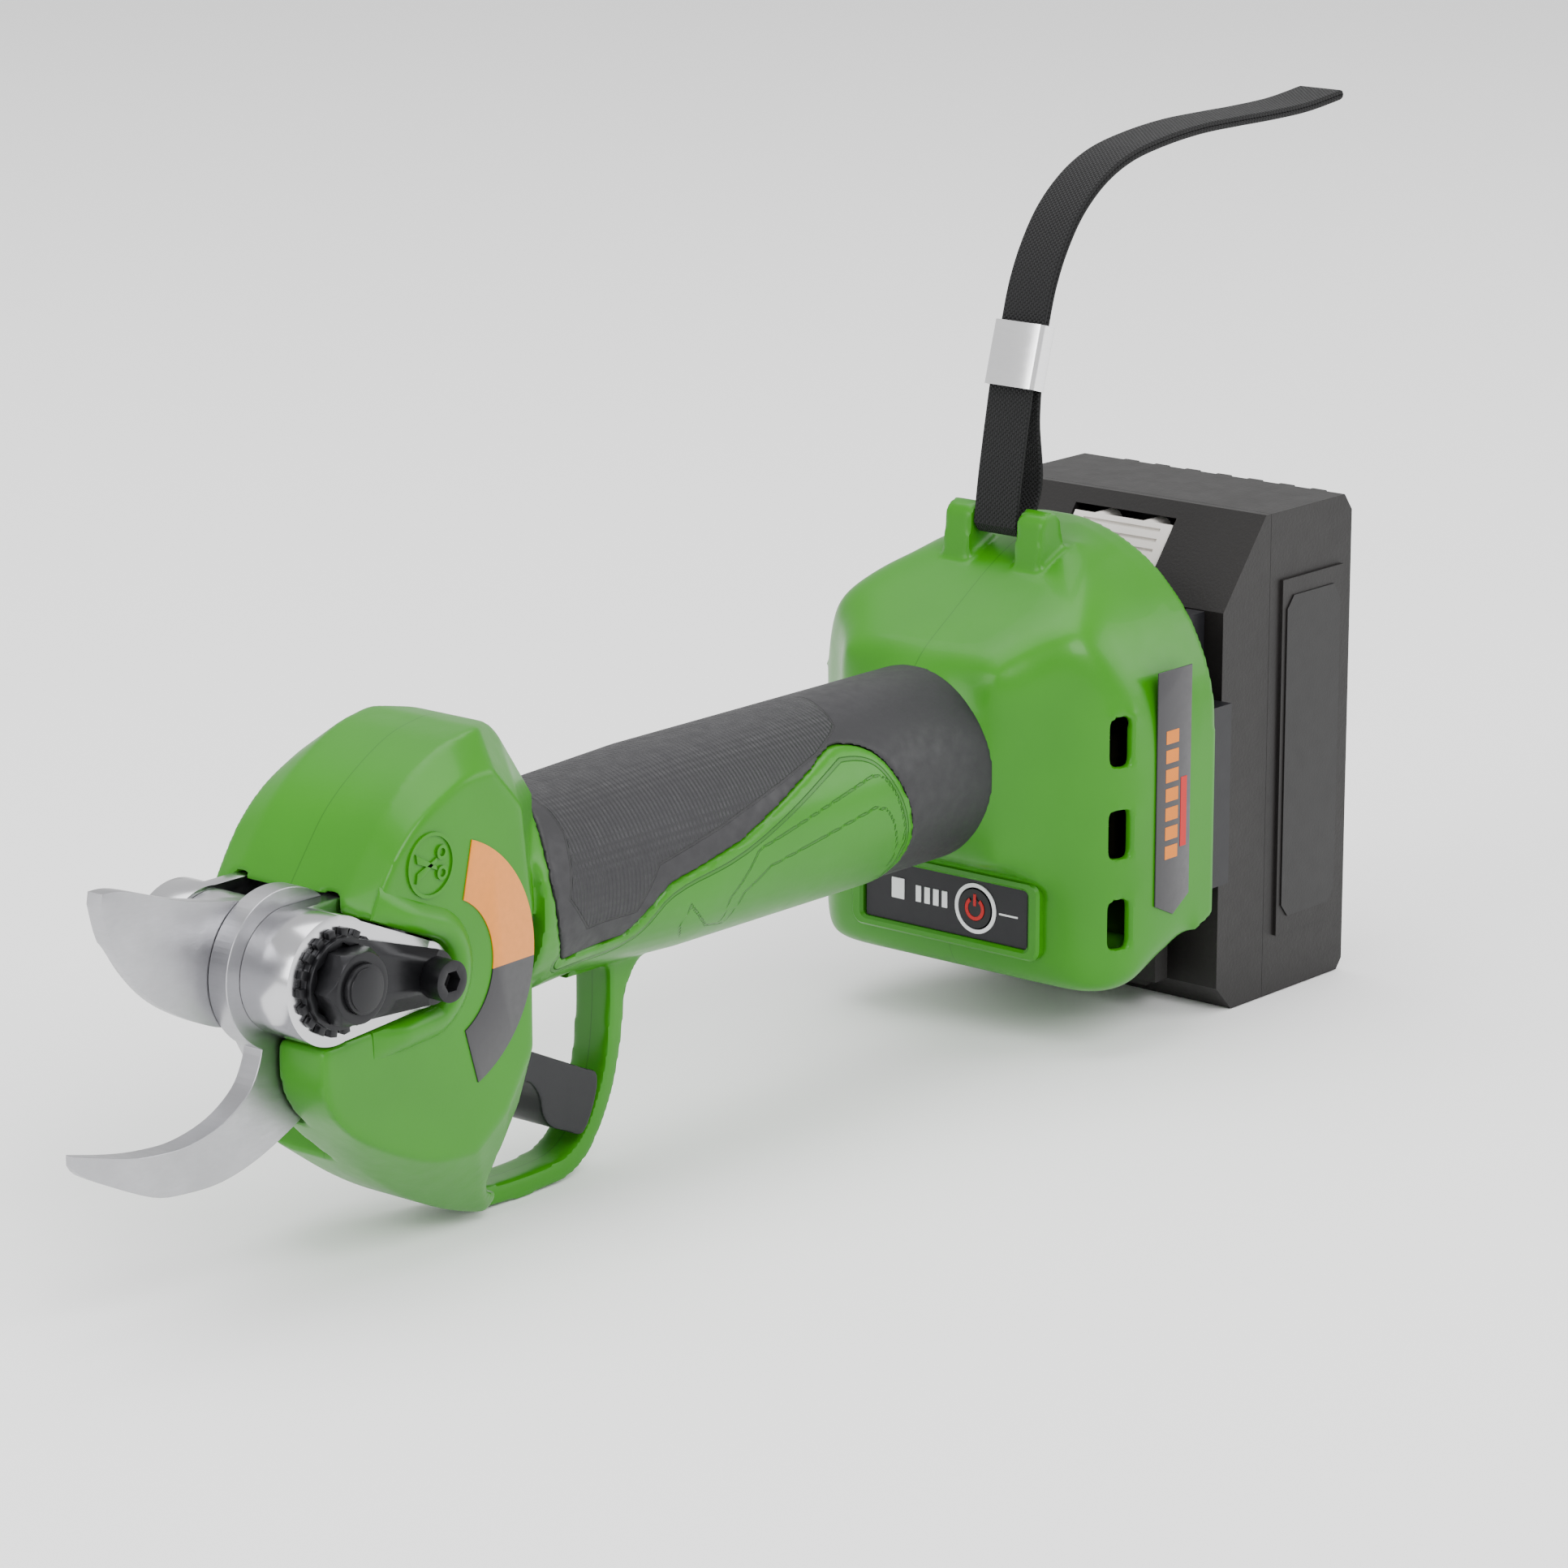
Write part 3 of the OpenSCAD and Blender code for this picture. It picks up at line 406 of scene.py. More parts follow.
@dataclass(frozen=True)
class Film:
    """Printed label film: two colours parted by a slanted line, with a satin face."""

    name: str
    colour: Rgb
    second: Rgb
    origin: Flat = (0.0, 0.0)
    slope: Flat = (0.0, 1.0)
    rough: float = 0.36

    def material(self) -> bpy.types.Material:
        """Builds the material."""
        s = Shade(self.name)
        p = s.place()
        x0, z0 = self.origin[0] * MM + AXLE.x, self.origin[1] * MM + AXLE.z
        across = s.calc(
            "ADD",
            s.calc("MULTIPLY", s.calc("SUBTRACT", p.outputs["X"], x0), self.slope[0]),
            s.calc("MULTIPLY", s.calc("SUBTRACT", p.outputs["Z"], z0), self.slope[1]),
        )
        share = s.remap(across, -0.00006, 0.00006)
        speck = s.remap(s.noise(0.0015, 4.0), 0.3, 0.75)
        colour = s.mix(share, self.second, self.colour)
        colour = s.mix(s.calc("MULTIPLY", speck, 0.1), colour, (0.02, 0.02, 0.02))
        return s.finish(colour, s.remap(speck, 0.0, 1.0, self.rough, self.rough + 0.1),
                        s.bump(s.noise(0.0012, 2.0), 0.000008), coat_weight=0.25)


@dataclass(frozen=True)
class Palette:
    """Every finish on the pruner, built once."""

    made: Dict[str, bpy.types.Material] = field(default_factory=dict)

    def get(self, finish: object) -> bpy.types.Material:
        """The finish's material, made on first use."""
        name = finish.name
        if name not in self.made:
            self.made[name] = finish.material()
        return self.made[name]


GREEN: Rgb = (0.024, 0.185, 0.0012)
SHELL_GREEN = Moulding(
    "shell_green", GREEN, 0.36, 0.0008, 0.000012, 0.05, 0.05,
    (Groove("panel_outer", 0.0011, 0.0006), Groove("panel_inner", 0.0008, 0.0004),
     Groove("hump_seam", 0.0004, 0.0002, 0.75), Groove("guard_seam", 0.0006, 0.0003, 0.7)), True,
)
PLAIN_GREEN = Moulding("moulded_green", GREEN, 0.36, 0.0008, 0.000012, 0.05, 0.05)
TRIGGER_BLACK = Moulding("trigger_black", (0.008, 0.008, 0.010), 0.42, 0.0006, 0.00001, 0.1)
PANEL_DARK = Moulding("panel_dark", (0.013, 0.0125, 0.0155), 0.5, 0.0005, 0.000012, 0.06)
PACK_DARK = Moulding("pack_charcoal", (0.0095, 0.0085, 0.0082), 0.5, 0.0007, 0.00005, 0.1)
PACK_PANEL = Moulding("pack_panel", (0.007, 0.0066, 0.0066), 0.42, 0.0005, 0.00002, 0.08)
LATCH_PALE = Moulding("latch_pale", (0.72, 0.69, 0.65), 0.45, 0.0008, 0.00001, 0.03)
PRINT_WHITE = Moulding("print_white", (0.75, 0.75, 0.77), 0.5, 0.0006, 0.000005, 0.03)
PRINT_RED = Moulding("print_red", (0.45, 0.006, 0.006), 0.45, 0.0006, 0.000005, 0.05)
PRINT_ORANGE = Moulding("print_orange", (0.62, 0.17, 0.001), 0.45, 0.0006, 0.000005, 0.05)
BLADE_STEEL = Metal("blade_steel", (0.44, 0.44, 0.46), 0.34, (3, 1, 14), 0.006, 0.00002, 0.14)
BOSS_METAL = Metal("boss_metal", (0.58, 0.58, 0.60), 0.2, (1, 1, 1), 0.006, 0.000006, 0.1)
BLACK_STEEL = Metal("black_oxide", (0.013, 0.013, 0.015), 0.34, (1, 1, 1), 0.003, 0.000008, 0.2, 0.6)
GEAR_STEEL = Metal("gear_steel", (0.5, 0.5, 0.52), 0.3, (1, 1, 1), 0.003, 0.00001)
BRONZE = Metal("bush_bronze", (0.62, 0.42, 0.18), 0.35, (1, 8, 1), 0.003, 0.00001)
COPPER = Metal("winding_copper", (0.62, 0.27, 0.12), 0.35, (8, 1, 1), 0.002, 0.00006)
CONTACTS = Metal("contact_plate", (0.78, 0.62, 0.3), 0.25, (1, 1, 6), 0.003, 0.000006)
CLIP_BRIGHT = Metal("clip_bright", (0.88, 0.88, 0.89), 0.16, (1, 1, 4), 0.006, 0.000004, 0.05)
BOARD_GREEN = Moulding("board_green", (0.02, 0.13, 0.05), 0.35, 0.0006, 0.00001, 0.12, 0.3)
CELL_WRAP = Moulding("cell_wrap", (0.05, 0.22, 0.42), 0.3, 0.0006, 0.000004, 0.08, 0.3)
LEAD_SLEEVE = Moulding("lead_sleeve", (0.5, 0.04, 0.03), 0.4, 0.0006, 0.000004, 0.05)
HEAD_FILM = Film("head_film", (0.66, 0.20, 0.001), (0.015, 0.014, 0.0175), (-157.2, -7.3), (-0.02, 1.0))
SIDE_FILM = Film("side_film", (0.015, 0.014, 0.0175), (0.011, 0.0105, 0.013), (40.0, -60.0), (0.0, 1.0))


# ---------------------------------------------------------------- mesh helpers


def as_object(name: str, bm: bmesh.types.BMesh, material: bpy.types.Material, body: Body
              ) -> bpy.types.Object:
    """Turns a bmesh into a piece that rides on a body.

    Args:
        name: the piece's name.
        bm: its mesh, freed here.
        material: its finish.
        body: what it rides on.

    Returns:
        The piece.
    """
    bmesh.ops.remove_doubles(bm, verts=bm.verts, dist=1e-7)
    bmesh.ops.recalc_face_normals(bm, faces=bm.faces)
    mesh = bpy.data.meshes.new(name)
    bm.to_mesh(mesh)
    bm.free()
    return finished(name, mesh, material, body)


def finished(name: str, mesh: bpy.types.Mesh, material: bpy.types.Material, body: Body
             ) -> bpy.types.Object:
    """Puts a mesh in the scene as a smooth-shaded piece of a body, sharp edges kept.

    Args:
        name: the piece's name.
        mesh: its mesh.
        material: its finish.
        body: what it rides on.

    Returns:
        The piece.
    """
    piece = bpy.data.objects.new(name, mesh)
    bpy.context.scene.collection.objects.link(piece)
    mesh.materials.clear()
    mesh.materials.append(material)
    mesh.shade_smooth()
    mesh.set_sharp_from_angle(angle=SHARP_ANGLE)
    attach(piece, body.value)
    log.info("%s: %d faces on %s", name, len(mesh.polygons), body.value)
    return piece


def copy_of(*nodes: str) -> bmesh.types.BMesh:
    """The CAD nodes' meshes as one bmesh, merged."""
    bm = bmesh.new()
    for name in nodes:
        bm.from_mesh(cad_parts[name].data)
    bmesh.ops.remove_doubles(bm, verts=bm.verts, dist=MERGE)
    return bm


def with_modifiers(bm: bmesh.types.BMesh, steps: Sequence[Tuple[str, Dict[str, object]]],
                   weights: Optional[np.ndarray] = None) -> bpy.types.Mesh:
    """Runs modifiers on a bmesh and returns the applied mesh.

    Args:
        bm: the mesh, freed here.
        steps: each modifier's type with its settings.
        weights: one share for each point, for a vertex group named weight.

    Returns:
        The mesh with them applied.
    """
    mesh = bpy.data.meshes.new("work")
    bm.to_mesh(mesh)
    bm.free()
    work = bpy.data.objects.new("work", mesh)
    bpy.context.scene.collection.objects.link(work)
    if weights is not None:
        group = work.vertex_groups.new(name="weight")
        levels = np.rint(weights * 20).astype(int)
        for level in range(1, 21):
            group.add(np.nonzero(levels == level)[0].tolist(), level / 20, "REPLACE")
    for kind, settings in steps:
        modifier = work.modifiers.new(kind, kind)
        for key, value in settings.items():
            setattr(modifier, key, value)
    graph = bpy.context.evaluated_depsgraph_get()
    made = bpy.data.meshes.new_from_object(work.evaluated_get(graph))
    bpy.data.objects.remove(work)
    bpy.data.meshes.remove(mesh)
    return made


def softened(bm: bmesh.types.BMesh, voxel: float, iterations: int) -> bpy.types.Mesh:
    """A bmesh rebuilt as one closed skin and lightly smoothed.

    Args:
        bm: the mesh, freed here.
        voxel: the size of the skin's grid in millimetres.
        iterations: how often it is smoothed.

    Returns:
        The softened mesh.
    """
    return with_modifiers(bm, [
        ("REMESH", {"mode": "VOXEL", "voxel_size": voxel * MM, "use_smooth_shade": True}),
        ("SMOOTH", {"factor": 0.5, "iterations": iterations}),
    ])


def local_points(mesh: bpy.types.Mesh) -> np.ndarray:
    """The mesh's points as rows of X, Y and Z, in millimetres from the handle axis."""
    out = np.zeros(len(mesh.vertices) * 3)
    mesh.vertices.foreach_get("co", out)
    return (out.reshape(-1, 3) - np.array(AXLE)) / MM


def distance_to(points: np.ndarray, line: Sequence[Flat], closed: bool = False) -> np.ndarray:
    """Distance in metres from each point to a line drawn in X and Z.

    Args:
        points: rows of X and Z, in millimetres from the handle axis.
        line: the line's corners in the same numbers.
        closed: joins its ends.

    Returns:
        One distance for each row.
    """
    pts = list(line) + ([line[0]] if closed else [])
    best = np.full(len(points), 1e9)
    for a, b in zip(pts[:-1], pts[1:]):
        a2, d = np.array(a, float), np.array(b, float) - np.array(a, float)
        t = np.clip(((points - a2) @ d) / max(d @ d, 1e-12), 0, 1)
        best = np.minimum(best, np.linalg.norm(points - (a2 + t[:, None] * d), axis=1))
    return best * MM


def inside(points: np.ndarray, line: Sequence[Flat]) -> np.ndarray:
    """Finds the rows that lie inside a closed line.

    Args:
        points: rows of two numbers.
        line: the line's corners in the same numbers.

    Returns:
        True for each row inside.
    """
    x, z = points[:, 0], points[:, 1]
    hit = np.zeros(len(points), bool)
    for (x0, z0), (x1, z1) in zip(line, list(line[1:]) + [line[0]]):
        with np.errstate(divide="ignore", invalid="ignore"):
            cross = ((z0 > z) != (z1 > z)) & (x < (x1 - x0) * (z - z0) / (z1 - z0) + x0)
        hit ^= cross
    return hit


def outside_box(co: np.ndarray, low: Sequence[float], high: Sequence[float]) -> np.ndarray:
    """Distance from each point to a box, 0 inside it.

    Args:
        co: the points as rows of X, Y and Z.
        low: the box's least corner.
        high: its greatest corner.

    Returns:
        One distance for each row, in the unit of the points.
    """
    out = np.zeros(len(co))
    for k in range(3):
        out += np.maximum(np.maximum(low[k] - co[:, k], co[:, k] - high[k]), 0) ** 2
    return np.sqrt(out)


def unwrapped(co: np.ndarray) -> np.ndarray:
    """Rows of X and the way round the handle from its top, for points in millimetres."""
    return np.stack([co[:, 0], HANDLE_RADIUS * np.abs(np.arctan2(co[:, 1], co[:, 2]))], axis=1)


def note(mesh: bpy.types.Mesh, name: str, values: np.ndarray) -> None:
    """Stores one number for each point of a mesh."""
    made = mesh.attributes.new(name, "FLOAT", "POINT")
    made.data.foreach_set("value", values.astype(np.float32))


def plate(outline: Sequence[Flat], y: float, thick: float, edge: float = 0.0) -> bmesh.types.BMesh:
    """A flat piece with an outline in X and Z, its outer face at y, softened at the edge.

    Args:
        outline: corners in millimetres from the handle axis.
        y: where its outer face is.
        thick: how far it goes back towards the parting plane.
        edge: radius of its front edge.

    Returns:
        The piece's bmesh.
    """
    bm = bmesh.new()
    side = 1 if y > 0 else -1
    front = bm.faces.new([bm.verts.new(at(x, y - side * thick, z)) for x, z in outline])
    grown = bmesh.ops.extrude_face_region(bm, geom=[front])["geom"]
    top = [g for g in grown if isinstance(g, bmesh.types.BMVert)]
    bmesh.ops.translate(bm, verts=top, vec=(0, side * thick * MM, 0))
    if edge:
        rim = [e for e in bm.edges if all(v in top for v in e.verts)]
        bmesh.ops.bevel(bm, geom=rim, offset=edge * MM, segments=2, profile=0.5, affect="EDGES", material=-1)
    return bm


def bar(low: Tuple[float, float, float], high: Tuple[float, float, float], edge: float = 0.2,
        segments: int = 2) -> bmesh.types.BMesh:
    """A block with rounded edges.

    Args:
        low: its least corner, in millimetres from the handle axis.
        high: its greatest corner.
        edge: radius of its edges.
        segments: steps round an edge.

    Returns:
        The block's bmesh.
    """
    bm = bmesh.new()
    a, b = at(*low), at(*high)
    bmesh.ops.create_cube(bm, size=1.0, matrix=Matrix.LocRotScale((a + b) / 2, None, b - a))
    if edge:
        bmesh.ops.bevel(bm, geom=bm.edges[:], offset=edge * MM, segments=segments, profile=0.5,
                        affect="EDGES", material=-1)
    return bm


def joined(parts: Iterable[bmesh.types.BMesh]) -> bmesh.types.BMesh:
    """Joins several bmeshes.

    Args:
        parts: the bmeshes, freed here.

    Returns:
        One bmesh with all of them.
    """
    out = bmesh.new()
    for part in parts:
        mesh = bpy.data.meshes.new("part")
        part.to_mesh(mesh)
        part.free()
        out.from_mesh(mesh)
        bpy.data.meshes.remove(mesh)
    return out


def skin_rings(rings: Sequence[Sequence[Vector]], closed: bool) -> bmesh.types.BMesh:
    """Bridges rings of points, each with the next.

    Args:
        rings: loops with equal counts of points, in frame metres.
        closed: bridges the last ring to the first, where the open ends are filled otherwise.

    Returns:
        The skin's bmesh.
    """
    bm = bmesh.new()
    pairs = list(zip(rings[:-1], rings[1:])) + ([(rings[-1], rings[0])] if closed else [])
    for pair in pairs:
        hoops = []
        for ring in pair:
            verts = [bm.verts.new(p) for p in ring]
            hoops += [bm.edges.new(ends) for ends in zip(verts, verts[1:] + verts[:1])]
        bmesh.ops.bridge_loops(bm, edges=hoops)
    bmesh.ops.remove_doubles(bm, verts=bm.verts, dist=MERGE / 10)
    if not closed:
        bmesh.ops.holes_fill(bm, edges=[e for e in bm.edges if e.is_boundary], sides=0)
    return bm


def ring_arc(centre: Vector, axis: Vector, radius: float, half: float, tall: float, start: float = 0.0,
             turn: float = 360.0, steps: int = 48) -> bmesh.types.BMesh:
    """A flat ring or arc, built by turning a small square round an axis.

    Args:
        centre: its middle, in frame metres.
        axis: the direction it faces.
        radius: middle radius in millimetres.
        half: half its width in millimetres.
        tall: how far it stands up along the axis, in millimetres.
        start: where an arc starts, in degrees from straight up.
        turn: how far it goes round.
        steps: stretches round it.

    Returns:
        The ring's bmesh.
    """
    bm = bmesh.new()
    across = Matrix.Rotation(math.radians(start), 3, axis) @ Vector((0, 0, 1))
    corners = [bm.verts.new(centre + across * (radius + s * half) * MM + axis * h * MM)
               for s, h in ((-1, 0), (1, 0), (1, tall), (-1, tall))]
    face = bm.faces.new(corners)
    full = turn >= 360
    bmesh.ops.spin(bm, geom=[face, *face.edges, *face.verts], cent=centre, axis=axis,
                   angle=math.radians(turn), steps=steps, use_merge=full, use_duplicate=False)
    if full:
        bmesh.ops.remove_doubles(bm, verts=bm.verts, dist=MERGE)
        inner = [f for f in bm.faces if all(len(e.link_faces) > 2 for e in f.edges)]
        bmesh.ops.delete(bm, geom=inner, context="FACES_ONLY")
    return bm


# ---------------------------------------------------------------- sub-assemblies


@dataclass
class Studio:
    """Camera, floor and lights."""

    eye: Vector = field(default_factory=lambda: Vector((-0.91067, -0.78746, 0.38661)))
    target: Vector = field(default_factory=lambda: Vector((0.05347, 0.02155, 0.06112)))
    lens: float = 134.44

    def camera(self) -> None:
        """Makes the scene's camera."""
        data = bpy.data.cameras.new("camera")
        data.lens, data.sensor_width, data.sensor_fit = self.lens, 36.0, "HORIZONTAL"
        data.clip_start, data.clip_end = 0.05, 50.0
        cam = bpy.data.objects.new("camera", data)
        bpy.context.scene.collection.objects.link(cam)
        cam.location = self.eye
        cam.rotation_mode = "QUATERNION"
        cam.rotation_quaternion = (self.target - self.eye).to_track_quat("-Z", "Y")
        bpy.context.scene.camera = cam

    def floor(self) -> None:
        """Makes the pale floor that the pruner stands on."""
        bm = bmesh.new()
        bmesh.ops.create_grid(bm, x_segments=2, y_segments=2, size=4.0)
        mesh = bpy.data.meshes.new("floor")
        bm.to_mesh(mesh)
        bm.free()
        obj = bpy.data.objects.new("floor", mesh)
        obj.location = (0, 0, -0.0002)
        bpy.context.scene.collection.objects.link(obj)
        s = Shade("floor")
        mesh.materials.append(s.finish((0.93, 0.93, 0.93), s.remap(s.noise(0.3), 0.3, 0.7, 0.75, 0.8)))

    def lights(self) -> None:
        """Makes the soft studio lights and the pale surroundings."""
        for name, place, size, power in (
            ("key", (-0.7, -1.5, 1.5), 1.1, 34.0),
            ("left", (-1.9, 0.3, 0.9), 1.2, 20.0),
            ("top", (0.2, 0.3, 1.9), 1.6, 30.0),
            ("right", (1.4, -1.2, 0.8), 1.0, 12.0),
        ):
            data = bpy.data.lights.new(name, "AREA")
            data.shape, data.size, data.energy = "SQUARE", size, power
            lamp = bpy.data.objects.new(name, data)
            lamp.location = place
            lamp.rotation_mode = "QUATERNION"
            lamp.rotation_quaternion = (Vector((-0.03, 0, 0.06)) - Vector(place)).to_track_quat("-Z", "Y")
            bpy.context.scene.collection.objects.link(lamp)
        world = bpy.data.worlds.new("surroundings")
        bpy.context.scene.world = world
        world.use_nodes = True
        world.node_tree.nodes["Background"].inputs[0].default_value = (1, 1, 1, 1)
        world.node_tree.nodes["Background"].inputs[1].default_value = 1.0


@dataclass
class WristStrap:
    """The webbing loop between the lug's ears, and its clip."""

    palette: Palette
    width: float = 12.0
    ply: float = 1.1
    crest: Tuple[Flat, ...] = (
        (38, 92.6), (40.8, 101.6), (45, 109.8), (51, 117.4), (59.4, 123.6), (69.4, 127.6), (82, 129.8),
        (96, 131), (110, 131.2), (124, 131.2), (138, 131.6), (151, 133),
    )
    near: Tuple[Flat, ...] = ((28.9, 49), (30, 58), (33, 74), (35.2, 84), (38, 92.6))
    far: Tuple[Flat, ...] = ((32.9, 49), (36.6, 58), (35.4, 72), (36.4, 84), (38, 92.6))

    def offset(self, line: Sequence[Flat], by: float) -> List[Flat]:
        """Moves a line sideways.

        Args:
            line: its points.
            by: how far to its left, in millimetres.

        Returns:
            The moved points.
        """
        out = []
        for i in range(len(line)):
            a, b = Vector(line[max(i - 1, 0)]), Vector(line[min(i + 1, len(line) - 1)])
            d = (b - a).normalized()
            out.append((line[i][0] - d.y * by, line[i][1] + d.x * by))
        return out

    def path(self) -> List[Flat]:
        """The closed run of the band's middle, in X and Z."""
        half = 0.62
        up = self.offset(spline(self.near, 8)[:-1] + spline(self.crest, 8), half)
        down = self.offset(spline(self.far, 8)[:-1] + spline(self.crest, 8), -half)
        tip = Vector(spline(self.crest, 8)[-1])
        heading = (tip - Vector(spline(self.crest, 8)[-2])).normalized()
        side = Vector((-heading.y, heading.x))
        fold = [tuple(tip + side * half * math.cos(a) + heading * half * math.sin(a))
                for a in (math.pi / 4, math.pi / 2, 3 * math.pi / 4)]
        bar_turn = [(30.8 + 2.2 * math.cos(a), 49.2 + 2.2 * math.sin(a))
                    for a in (-math.pi * k / 8 for k in range(1, 8))]
        return up + fold + down[::-1] + bar_turn

    def build(self) -> None:
        """Builds the band and the clip."""
        run = [Vector((x, 0, z)) for x, z in self.path()]
        count = len(run)
        bm = bmesh.new()
        layer = bm.loops.layers.uv.new("weave")
        w, t = self.width / 2, self.ply / 2
        half = [(-w, -t * 0.5), (-w * 0.95, -t), (-w * 0.4, -t), (w * 0.4, -t), (w * 0.95, -t), (w, -t * 0.5)]
        across = half + [(y, -h) for y, h in half[::-1]]
        rings, length = [], [0.0]
        for i, p in enumerate(run):
            d = (run[(i + 1) % count] - run[i - 1]).normalized()
            n = Vector((-d.z, 0, d.x))
            rings.append([bm.verts.new(at(*(p + n * h + Vector((0, y, 0))))) for y, h in across])
            length.append(length[-1] + (run[(i + 1) % count] - p).length * MM)
        for i in range(count):
            for k in range(12):
                m = (k + 1) % 12
                face = bm.faces.new((rings[i][k], rings[i][m], rings[(i + 1) % count][m],
                                     rings[(i + 1) % count][k]))
                for loop, (u, v) in zip(face.loops, ((length[i], k), (length[i], m), (length[i + 1], m),
                                                     (length[i + 1], k))):
                    loop[layer].uv = (u, across[v][0] * MM + 1.0)
        strap = as_object("wrist_band", bm, self.palette.get(Webbing()), Body.TOOL)
        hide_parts("wrist_strap")
        clip = self.clip()

    def clip(self) -> bpy.types.Object:
        """Builds the bright ferrule that holds the two plies together."""
        placing = Matrix.Translation(at(36.2, 0, 86.0)) @ Matrix.Rotation(math.radians(16), 4, "Y")
        rings = []
        for corner, z in ((1.1, -7.0), (1.1, 7.6), (0.6, 7.6), (0.6, -7.0)):
            ring = []
            for sx, sy in ((-1, -1), (1, -1), (1, 1), (-1, 1)):
                for k in range(4):
                    a = math.atan2(sy, sx) - math.pi / 4 + k * math.pi / 6
                    ring.append(placing @ (Vector(
                        (sx * 1.5 + corner * math.cos(a), sy * 5.8 + corner * math.sin(a), z)) * MM))
            rings.append(ring)
        piece = as_object("strap_ferrule", skin_rings(rings, True), self.palette.get(CLIP_BRIGHT), Body.TOOL)
        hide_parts("strap_clip")
        return piece


@dataclass
class MouldedBody:
    """The two green half shells, softened and marked with their pressed lines."""

    palette: Palette
    voxel: float = 0.8
    panel: Tuple[Flat, ...] = (
        (-136.5, -12.4), (-118, -11.2), (-107.3, -2.1), (-84.3, 3), (-54.2, 13.6), (-47.1, 15.1),
        (-38.1, 12.7), (-32.2, 5.5), (-27.4, -5.4), (-26.6, -13), (-28, -24),
    )
    bolt_mark: Tuple[Flat, ...] = (
        (-97.7, 52.4), (-100.6, 48.2), (-100.1, 42.4), (-91.1, 50.5), (-84.5, 52), (-83, 43.5), (-76, 38.8),
        (-41.6, 33.1), (-37.6, 34.2), (-35.1, 37.4), (-31.8, 44.1), (-31, 50),
    )
    inner_edge: Tuple[Flat, ...] = (
        (-86.3, 50.4), (-87.2, 43.7), (-80.2, 34.4), (-40.8, 26.4), (-37.4, 27.2), (-34.2, 31.6), (-30.6, 40),
        (-29.2, 48),
    )

    def skin(self) -> bpy.types.Mesh:
        """Both halves as one softened skin."""
        bm = copy_of("left_shell", "right_shell")
        for v in bm.verts:
            if abs(v.co.y) < 2e-5:
                far = [e.other_vert(v).co.y for e in v.link_edges]
                v.co.y = -0.0006 if max(far) > 2e-5 else (0.0006 if min(far) < -2e-5 else 0.0)
        mesh = softened(bm, self.voxel, 5)
        co = local_points(mesh)
        soft = bmesh.new()
        soft.from_mesh(mesh)
        bpy.data.meshes.remove(mesh)
        return with_modifiers(soft, [
            ("SMOOTH", {"factor": 0.5, "iterations": 330, "vertex_group": "weight"}),
        ], self.roundness(co))

    def roundness(self, co: np.ndarray) -> np.ndarray:
        """How far each point of the skin is rounded off, from 0 to 1.

        Args:
            co: the points in millimetres from the handle axis.

        Returns:
            One share for each point: 1 on the housing's dome, 0 at its openings and on the head.
        """
        x = co[:, 0]
        share = np.clip((x + 2.5) / 4, 0, 1) * np.clip((46.5 - x) / 3, 0, 1)
        keep_crisp = [
            (((23, -15, 40), (39, 15, 60)), 3.0),
            (((9, -27.5, -44), (14, 27.5, -24.5)), 3.0),
        ]
        for near, far in ((-48.0, -36.0), (36.0, 48.0)):
            for middle in (7.0, -14.0, -34.7):
                box = ((18, near, middle - 5.8), (24, far, middle + 5.8))
                keep_crisp.append((box, 2.0))
        for box, fade in keep_crisp:
            share *= np.clip(outside_box(co, *box) / fade, 0, 1)
        return share

    def half(self, skin: bpy.types.Mesh, side: Side) -> bpy.types.Object:
        """One half shell, cut from the skin at the parting plane.

        Args:
            skin: both halves in one mesh.
            side: which half is kept.

        Returns:
            The half shell.
        """
        bm = bmesh.new()
        bm.from_mesh(skin)
        bmesh.ops.bisect_plane(bm, geom=[*bm.verts, *bm.edges, *bm.faces], dist=MERGE, plane_co=(0, 0, 0),
                               plane_no=(0, -side.value, 0), clear_outer=True)
        edges = [e for e in bm.edges if e.is_boundary]
        bmesh.ops.triangle_fill(bm, use_beauty=True, edges=edges)
        bmesh.ops.recalc_face_normals(bm, faces=bm.faces)
        mesh = bpy.data.meshes.new(side.name.lower() + "_half_shell")
        bm.to_mesh(mesh)
        bm.free()
        self.mark(mesh)
        name = side.name.lower()
        piece = finished(name + "_moulding", mesh, self.palette.get(SHELL_GREEN), Body.TOOL)
        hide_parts(name + "_shell")
        return piece

    def mark(self, mesh: bpy.types.Mesh) -> None:
        """Stores how far each point is from the pressed lines.

        Args:
            mesh: a half shell.
        """
        co = local_points(mesh)
        note(mesh, "panel_outer", distance_to(co[:, [0, 2]], spline(self.panel, 5)) - 0.0024)
        wall = unwrapped(co)
        handle = (co[:, 0] > -104) & (co[:, 0] < -24) & (wall[:, 1] > 24)
        lines = np.minimum(distance_to(wall, self.bolt_mark), distance_to(wall, self.inner_edge))
        note(mesh, "panel_inner", np.where(handle, lines, FAR_OFF))
        on_top = (co[:, 2] > 14) & (co[:, 0] < -140)
        note(mesh, "hump_seam", np.where(on_top, np.abs(np.abs(co[:, 1]) - 4.2) * MM, FAR_OFF))
        guard = (co[:, 2] < -24) & (co[:, 0] > -150) & (co[:, 0] < -96)
        note(mesh, "guard_seam", np.where(guard, np.abs(co[:, 0] + 103.5) * MM, FAR_OFF))

